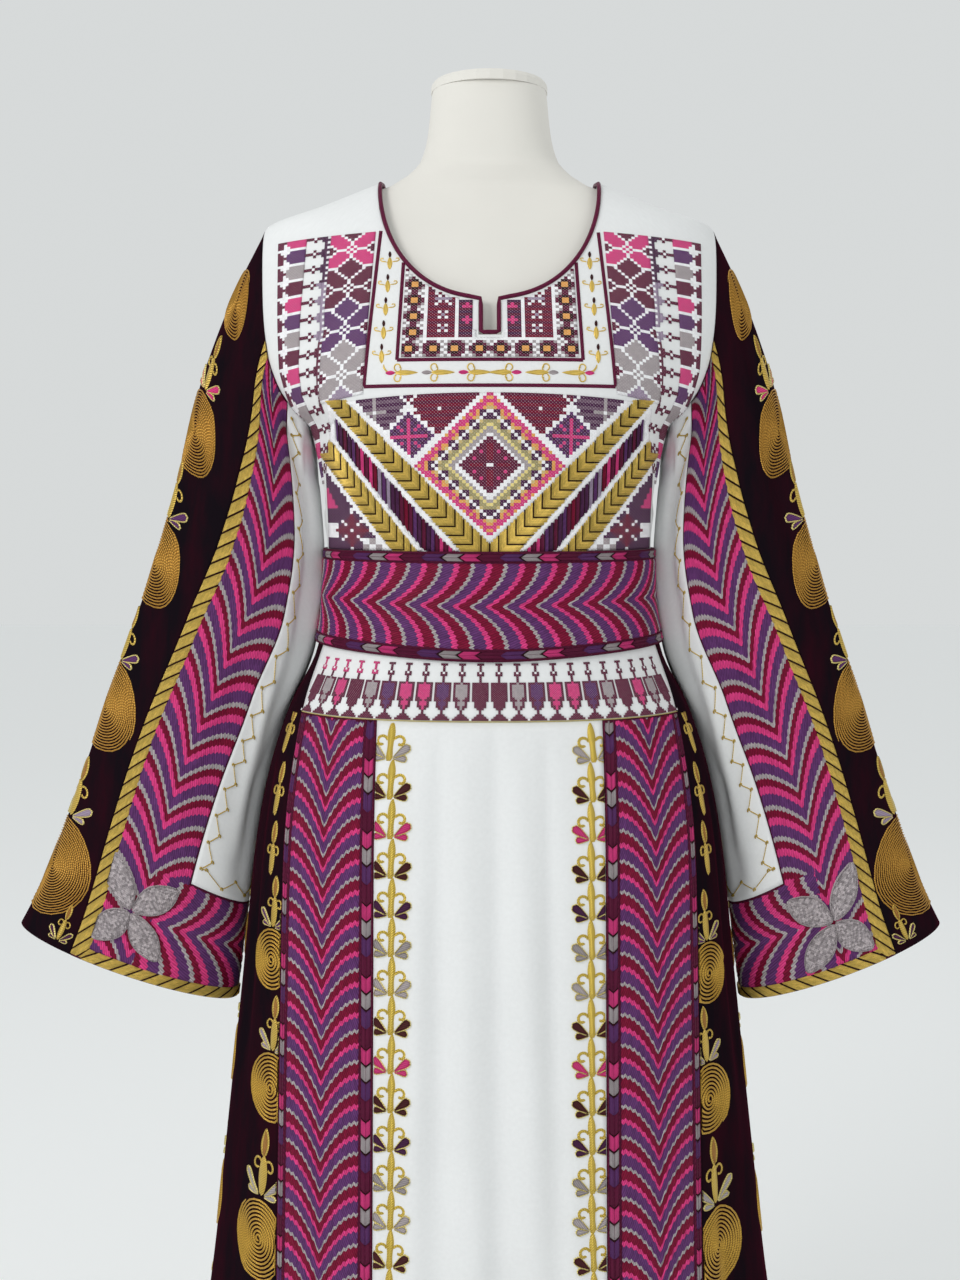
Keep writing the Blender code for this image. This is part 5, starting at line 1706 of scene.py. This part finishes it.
def build_hip_band():
    """A row of stitched teeth round the hips, each on a small diamond and a burgundy foot."""
    tones = shades()
    bottom, reach = HIP_SEAM_Z + 0.0012, float(band_outer(1.0)) - 0.6
    letters = chart_of(TOOTH, ".BTCW")
    deg = np.linspace(-reach, reach, 400)
    table = arc_table(dress(np.full(400, 1.008), deg))

    def spot(u, v):
        return TEETH_TOP_Z + (bottom - TEETH_TOP_Z) * v, np.interp(u * table[-1], table, deg)

    def chart(i, j, a, b):
        tooth, middle = (i + 7) // 8, TEETH // 2
        which = np.minimum(np.where(tooth <= middle, middle - tooth, tooth - middle - 1), middle - 1)
        tip = (which > 5) & (tooth < middle)
        return np.choose(letters[j, (i + 7) % 8], [-1, 0, tip, 3 + which, 2])
    work = Patchwork()
    cells(work, dress, TEETH * 8 + 1, len(TOOTH), spot, chart,
          "burgundy pink stitched_white " + TOOTH_COLOURS, 0.16)
    thicken(work.finish("hip_cross_stitch", "cross_stitch", "chest"), STITCH_WALL)
    piping = Patchwork()
    turn = np.linspace(deg[0], deg[-1], 200)
    piping.ribbon(lambda a, b, out: dress(b, a, out), turn, np.full(200, HIP_SEAM_Z + 0.0004), 0.00045,
                  tones["pale_gold"], height=0.001)
    piping.finish("hip_seam_line", "satin_stitch", "piping")


# ---- couched gold on the skirt and sleeves
SKIRT_CORD_PITCH = 0.0034
SKIRT_DISC_TONE = (0.96, 0.82, 0.64)
SLEEVE_DISC_TONE = (0.84, 0.64, 0.54)
VINE_TONE = (0.98, 1.02, 0.85)
VINE_X = ((0.03, .1000), (0.583, .0830), (0.954, .0817), (0.986, .0817))
# Gold discs of the skirt sides: height, radius and size of the plant above, then directions in degrees
SKIRT_DISCS = (
    (0.7688, 0.028, 0.046, 66.8, 92.0, 118.0), (0.6571, 0.032, 0.05, 63.6, 90.5, 117.0),
    (0.5223, 0.037, 0.061, 63.5, 90.0, 116.5), (0.377, 0.041, 0.063, 61.5, 89.0, 116.0),
    (0.222, 0.044, 0.066, 59.5, 88.0, 115.5), (0.076, 0.04, 0.058, 58.5, 87.0, 115.0),
)
SKIRT_STEMS = ((0.972, 73.5), (0.918, 71.0), (0.866, 69.5))
# Discs of the sleeves: share of the length, radius, size of the plant above, direction, its petals
SLEEVE_DISCS = ((0.08, 0.0265, 0.0, 141, None), (0.262, 0.0355, 0.05, 147, "pink"),
                (0.452, 0.0385, 0.054, 154, "purple"), (0.657, 0.0415, 0.052, 157, "purple"),
                (0.889, 0.0475, 0.058, 158, "lavender"))
PETAL_TONES = ("pink", "purple", "lavender", "grey")


def spiral(radius, pitch):
    """Places along a cord that winds out from the middle."""
    turns = radius / pitch
    angle = np.linspace(0.8 * math.pi, turns * 2 * math.pi, int(turns * 24))
    return pitch * angle / (2 * math.pi) * np.sin(angle), pitch * angle / (2 * math.pi) * np.cos(angle)


def disc(work, spot, radius, pitch, tone):
    """A round of couched gold cord."""
    a, b = spiral(radius, pitch)
    spot.stroke(work, a, b, pitch * 0.33, tone, height=0.0014)


def plant(gilt, satin, spot, foot, size, petal, tones, slim=1.0):
    """A gold plant: flared petals at its foot, a body, two scrolls and a pointed leaf."""
    gold, cord = tones["gold"], (gilt, tones["pale_gold"])
    for side in (-1, 1):
        for tip_a, tip_b, half in ((0.43, 0.31, 0.085), (0.34, 0.06, 0.06)) if petal else ():
            spot.leaf(satin, (side * 0.07 * size * slim, foot + 0.02 * size),
                      (side * tip_a * size * slim, foot + tip_b * size), half * size, tones[petal], drop(),
                      outline=cord, outline_half=0.0007)
        a, b = curl(0.9, 0.115 * size, 13, 0.4)
        spot.stroke(gilt, side * (0.03 * size + a) * slim, foot + 0.47 * size + b, 0.022 * size, gold)
    spot.leaf(gilt, (0, foot), (0, foot + 0.62 * size), 0.105 * size * slim, gold, lens(11, 0.55), 0.0016)
    spot.leaf(satin, (0, foot + 0.58 * size), (0, foot + size), 0.078 * size * slim, tones["amber"] * 0.45,
              outline=(gilt, gold), outline_half=0.0009)


STEM = np.array([0.62, 0.84, 0.8, 0.74, 0.72, 0.76, 0.9, 1.0, 0.98, 0.82, 0.56, 0.26])


def build_vines():
    """Two gold vines with petal fans down the white front of the skirt."""
    tones = shades()
    pitch = sizes().vine_pitch
    cycle = [tones["grey"], tones["outline"] * 2.2, tones["pink"] * 0.85, tones["outline"] * 2.0,
             tones["plum"] * 0.8, tones["grey"] * 0.8]
    gilt, satin = Patchwork(), Patchwork()
    gold, pale = tones["gold"] * VINE_TONE, tones["pale_gold"]
    for sign, first in ((-1, 0.953), (1, 0.9505)):
        def panel(deg, z, out):
            held = np.minimum(sign * deg, band_inner(np.clip(z, HEM_Z, 1.0)) - 0.25)
            return dress(np.clip(z, HEM_Z + 0.002, HIP_SEAM_Z - 0.0015), sign * held, out)
        for k in range(int((first - HEM_Z) / pitch) + 2):
            z = first + pitch - pitch * k
            x = float(edge_at(VINE_X, min(z, 0.98))) + (0.003 if sign > 0 else 0.0)
            spot = Motif(panel, (float(direction_of(sign * x, min(z, 0.985))), z), (10, 0.04))
            spot.leaf(gilt, (0, -0.033), (0, 0.002), 0.0037, gold, STEM, 0.0018)
            for side in (-1, 1):
                a, b = curl(0.88, 0.0054, 13, 0.42)
                spot.stroke(gilt, side * (0.0026 + a), b - 0.0153, 0.0016, gold)
                for tip_a, tip_b, half in ((0.0168, -0.019, 0.0054), (0.015, -0.0304, 0.0043)):
                    spot.leaf(satin, (side * 0.003, -0.0304), (side * tip_a, tip_b), half, cycle[k % 6],
                              drop(), outline=(gilt, pale), outline_half=0.00045)
    gilt.finish("skirt_vines_gold", "gold_thread", "gold")
    satin.finish("skirt_vines_petals", "satin_stitch", "feather")


def build_skirt_discs():
    """Couched gold discs and plants in columns down the velvet sides of the skirt."""
    tones = shades()
    gilt, satin = Patchwork(), Patchwork()
    for sign in (-1, 1):
        def panel(deg, z, out):
            held = np.clip(sign * deg, band_outer(np.clip(z, HEM_Z, 1.0)) + 0.3, BACK_SEAM_DEG - 0.5)
            return dress(np.clip(z, HEM_Z + 0.002, HIP_SEAM_Z - 0.002), sign * held, out)
        shift = -0.012 if sign > 0 else 0.0
        for k, (z, radius, size, *places) in enumerate(SKIRT_DISCS):
            for m, deg in enumerate(places):
                spot = Motif(panel, (sign * deg, z + shift * (1 - k / 5)), (40, 0.12))
                disc(gilt, spot, radius, SKIRT_CORD_PITCH, tones["gold"] * SKIRT_DISC_TONE)
                plant(gilt, satin, spot, radius + 0.001, size, PETAL_TONES[(k + m + 1) % 4], tones)
        for k, (z, deg) in enumerate(SKIRT_STEMS):
            for m, away in enumerate((0.0, 24.0, 48.0)):
                spot = Motif(panel, (sign * (deg + away), z - 0.024), (30, 0.07))
                plant(gilt, satin, spot, 0.0, 0.049, "plum" if m else None, tones, slim=0.8)
    gilt.finish("skirt_discs_gold", "gold_thread", "gold")
    satin.finish("skirt_discs_petals", "satin_stitch", "feather")


def knotted_leaf(work, spot, angle_deg, reach, half, tones):
    """A leaf filled with small raised knots, light and dark."""
    count = 26
    t = np.linspace(0.03, 1, count) * reach
    turn = math.radians(angle_deg)
    widths = half * lens(count, 0.75)

    def mottled(u, v):
        light = 0.7 + 1.05 * RNG.random(len(u)) ** 1.4
        return tones["grey"] * light[:, None]
    work.ribbon(spot.lay, t * math.sin(turn), t * math.cos(turn), widths, mottled, 0.0032, 12, edge=0.0018)
    side_a, side_b = math.cos(turn), -math.sin(turn)
    for rim in (-widths, widths):
        spot.stroke(work, t * math.sin(turn) + side_a * rim, t * math.cos(turn) + side_b * rim, 0.0009,
                    tones["grey"] * 1.3, 0.0036)


ZIGZAG_KNOT = 0.0021
ZIGZAG_CORNERS = 33


def zigzag(work, surface, corners, tone):
    """A fine gold line through corners given in the surface's own measures, with a knot at each."""
    for (a0, b0), (a1, b1) in zip(corners, corners[1:]):
        spot = Motif(surface, (a0, b0), (30, 0.08))
        end = [np.interp(to, places, walked) for to, (walked, places) in zip((a1, b1), spot.walks)]
        t = np.linspace(0, 1, 6)
        spot.stroke(work, end[0] * t, end[1] * t, 0.00065, tone, 0.001)
        angle = np.linspace(0, 2 * math.pi, 9)
        ring = ZIGZAG_KNOT * 0.55
        spot.stroke(work, ring * np.sin(angle), ring * np.cos(angle), ZIGZAG_KNOT * 0.5, tone * 0.85, 0.0014)


# Middles of the cuff flowers: direction and share of the length; then their leaves: turn and length
CUFF_FLOWERS = {"left": (93.3, 0.891), "right": (88.8, 0.905)}
CUFF_LEAVES = ((143, 0.052), (-135, 0.055), (36, 0.045), (-43, 0.05))


def build_sleeve_gold():
    """Discs and plants on the sleeve velvet, gold zigzags on the white and a knotted flower on each cuff."""
    tones = shades()
    for side in SLEEVE_SIDES:
        skin = sleeve(side)
        core = middle_of_sleeve(side)
        gilt, satin, fine, knots = (Patchwork(core) for _ in range(4))

        def panel(deg, share, out):
            held = np.clip(share, 0.004, 0.997)
            return skin(np.clip(deg, VELVET_FRONT(held) + 0.6, VELVET_BACK_DEG - 1.0), held, out)
        for share, radius, size, deg, petal in SLEEVE_DISCS:
            spot = Motif(panel, (deg, share), (80, 0.16), 180)
            disc(gilt, spot, radius, sizes().cord_pitch, tones["gold"] * SLEEVE_DISC_TONE)
            if petal:
                plant(gilt, satin, spot, radius + 0.001, size, petal, tones)
        for deg in (127, 226):
            low = Motif(panel, (deg, 0.988), (60, 0.1), 180)
            plant(gilt, satin, low, 0.0, 0.036, "plum", tones, slim=0.8)

        def white(deg, share, out):
            return skin(deg, np.clip(share, 0.004, CUFF_TOP - 0.003), out)
        outer = np.arange(ZIGZAG_CORNERS) % 2 == 1
        shares = np.linspace(0.035, CUFF_TOP - 0.032, ZIGZAG_CORNERS) + np.where(outer, 0.004, 0.0)
        per_degree = np.array([np.linalg.norm(skin(BAND_UNDER(s) - 8, s) - skin(BAND_UNDER(s) - 9, s))
                               for s in shares])
        reach = np.where(outer, 0.0145, 0.0055)
        front = [(float(BAND_UNDER(s) - r / p), float(s)) for s, r, p in zip(shares, reach, per_degree)]
        zigzag(fine, white, front, tones["gold"])
        turns = np.linspace(front[-1][0] - 4, VELVET_BACK_DEG - 360 + 8, 12)
        cuff = [(float(t), CUFF_TOP - (0.034 if k % 2 == 0 else 0.013)) for k, t in enumerate(turns)]
        zigzag(fine, white, [front[-1], *cuff], tones["gold"])

        def band(deg, share, out):
            held = np.clip(share, 0.02, HEM_EDGE_TOP - 0.002)
            return skin(np.minimum(deg, BAND_FRONT(held) - 0.8), held, out)
        flower = Motif(band, CUFF_FLOWERS[side], (60, 0.14))
        for angle, length in CUFF_LEAVES:
            knotted_leaf(knots, flower, angle, length, 0.0125, tones)
        gilt.finish(f"sleeve_discs_gold_{side}", "gold_thread", "gold")
        satin.finish(f"sleeve_discs_petals_{side}", "satin_stitch", "feather")
        fine.finish(f"sleeve_zigzag_{side}", "gold_thread", "gold")
        knots.finish(f"cuff_flower_{side}", "knotted_satin", "feather")


# ---- floor, light and camera
CAMERA_AT = (-0.0082, -1.3, 1.172145)
CAMERA_PITCH_DEG = 5.6302
CAMERA_LENS = 39.94
CAMERA_SENSOR = 36.0
CAMERA_END = 100.0
FLOOR_SIZE = 24.0
FLOOR_ROUGHNESS = 0.9
SURROUND_COLOUR = "E1E4E4"
SURROUND_STRENGTH = 0.9
LIGHTS = (
    # name, place, aimed at, size, watts
    ("key", (-2.1, -2.0, 2.5), (0.0, 0.0, 1.15), 1.2, 34.0),
    ("fill", (1.8, -1.9, 2.3), (0.0, 0.0, 1.2), 2.2, 6.0),
    ("back", (1.4, 2.2, 2.8), (0.0, 0.0, 1.3), 1.6, 4.0),
)


def build_stage():
    """A pale floor, three soft lights, an even pale surround and the camera."""
    scene = bpy.context.scene
    bm = bmesh.new()
    bmesh.ops.create_grid(bm, x_segments=1, y_segments=1, size=FLOOR_SIZE / 2)
    mesh = bpy.data.meshes.new("floor")
    bm.to_mesh(mesh)
    bm.free()
    floor = placed("floor", mesh)
    matt = bpy.data.materials.new("studio_floor")
    matt.use_nodes = True
    shader = matt.node_tree.nodes["Principled BSDF"]
    shader.inputs["Base Color"].default_value = (*scene.thobe_colours.floor, 1)
    shader.inputs["Roughness"].default_value = FLOOR_ROUGHNESS
    mesh.materials.append(matt)
    world = bpy.data.worlds.new("studio")
    world.use_nodes = True
    surround = world.node_tree.nodes["Background"].inputs
    surround[0].default_value = (*linear(SURROUND_COLOUR), 1)
    surround[1].default_value = SURROUND_STRENGTH
    scene.world = world
    for name, at, aim, size, watts in LIGHTS:
        data = bpy.data.lights.new(name, "AREA")
        data.shape = "DISK"
        data.size = size
        data.energy = watts
        lamp = placed(name, data)
        lamp.location = at
        lamp.rotation_euler = (Vector(aim) - Vector(at)).to_track_quat("-Z", "Y").to_euler()
    data = bpy.data.cameras.new("camera")
    data.lens = CAMERA_LENS
    data.sensor_width = CAMERA_SENSOR
    data.clip_end = CAMERA_END
    camera = placed("camera", data)
    camera.location = CAMERA_AT
    camera.rotation_euler = (math.radians(90 - CAMERA_PITCH_DEG), 0, 0)
    scene.camera = camera
    scene.view_settings.view_transform = "Standard"


# ---- operators, panel, main
def make(*builders):
    """Makes pieces in order, for an operator."""
    for build in builders:
        build()
    return {"FINISHED"}


class THOBE_OT_form(bpy.types.Operator):
    """Build the covered dress form and finish its stand"""
    bl_idname = "thobe.form"
    bl_label = "Dress form"

    def execute(self, context):
        return make(build_form, dress_stand)


class THOBE_OT_skirt(bpy.types.Operator):
    """Build the cloth of the skirt: hip band, front, bands, velvet sides and back"""
    bl_idname = "thobe.skirt"
    bl_label = "Skirt cloth"

    def execute(self, context):
        return make(build_skirt)


class THOBE_OT_bodice(bpy.types.Operator):
    """Build the cloth of the bodice"""
    bl_idname = "thobe.bodice"
    bl_label = "Bodice cloth"

    def execute(self, context):
        return make(build_bodice)


class THOBE_OT_belt(bpy.types.Operator):
    """Build the stiff belt"""
    bl_idname = "thobe.belt"
    bl_label = "Belt"

    def execute(self, context):
        return make(build_belt)


class THOBE_OT_sleeves(bpy.types.Operator):
    """Build the cloth of both open sleeves"""
    bl_idname = "thobe.sleeves"
    bl_label = "Sleeve cloth"

    def execute(self, context):
        return make(build_sleeves)


class THOBE_OT_feathers(bpy.types.Operator):
    """Stitch the feather bands and braids of the skirt, the belt and the sleeves"""
    bl_idname = "thobe.feathers"
    bl_label = "Feather stitch"

    def execute(self, context):
        return make(build_skirt_bands, build_belt_stitching, build_sleeve_bands)


class THOBE_OT_chest(bpy.types.Operator):
    """Stitch the chest: cross stitch, gold bands, frames, sprigs and piping"""
    bl_idname = "thobe.chest"
    bl_label = "Chest embroidery"

    def execute(self, context):
        return make(build_chest, build_piping, build_hip_band)


class THOBE_OT_vines(bpy.types.Operator):
    """Couch the gold vines and discs of the skirt"""
    bl_idname = "thobe.vines"
    bl_label = "Skirt gold"

    def execute(self, context):
        return make(build_vines, build_skirt_discs)


class THOBE_OT_sleeve_gold(bpy.types.Operator):
    """Couch the gold discs, zigzags and cuff flowers of the sleeves"""
    bl_idname = "thobe.sleeve_gold"
    bl_label = "Sleeve gold"

    def execute(self, context):
        return make(build_sleeve_gold)


class THOBE_OT_stage(bpy.types.Operator):
    """Set up the floor, the lights and the camera"""
    bl_idname = "thobe.stage"
    bl_label = "Studio"

    def execute(self, context):
        return make(build_stage)


OPERATORS = (THOBE_OT_form, THOBE_OT_skirt, THOBE_OT_bodice, THOBE_OT_belt, THOBE_OT_sleeves,
             THOBE_OT_feathers, THOBE_OT_chest, THOBE_OT_vines, THOBE_OT_sleeve_gold, THOBE_OT_stage)


class THOBE_PT_panel(bpy.types.Panel):
    """Lists the pieces of the dress in the sidebar of the 3D view"""
    bl_idname = "THOBE_PT_panel"
    bl_label = "Thobe dress"
    bl_space_type = "VIEW_3D"
    bl_region_type = "UI"
    bl_category = "Thobe"

    def draw(self, context):
        for operator in OPERATORS:
            self.layout.operator(operator.bl_idname)
        for settings in (context.scene.thobe_sizes, context.scene.thobe_colours):
            for key in settings.bl_rna.properties.keys():
                if key not in ("rna_type", "name"):
                    self.layout.prop(settings, key)


CLASSES = (ThobeColours, ThobeSizes, *OPERATORS, THOBE_PT_panel)


def register():
    for made in CLASSES:
        bpy.utils.register_class(made)
    bpy.types.Scene.thobe_colours = bpy.props.PointerProperty(type=ThobeColours)
    bpy.types.Scene.thobe_sizes = bpy.props.PointerProperty(type=ThobeSizes)


def unregister():
    del bpy.types.Scene.thobe_sizes
    del bpy.types.Scene.thobe_colours
    for made in reversed(CLASSES):
        bpy.utils.unregister_class(made)


def main():
    register()
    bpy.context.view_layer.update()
    for operator in OPERATORS:
        group, name = operator.bl_idname.split(".")
        getattr(getattr(bpy.ops, group), name)()


if __name__ == "__main__":
    main()
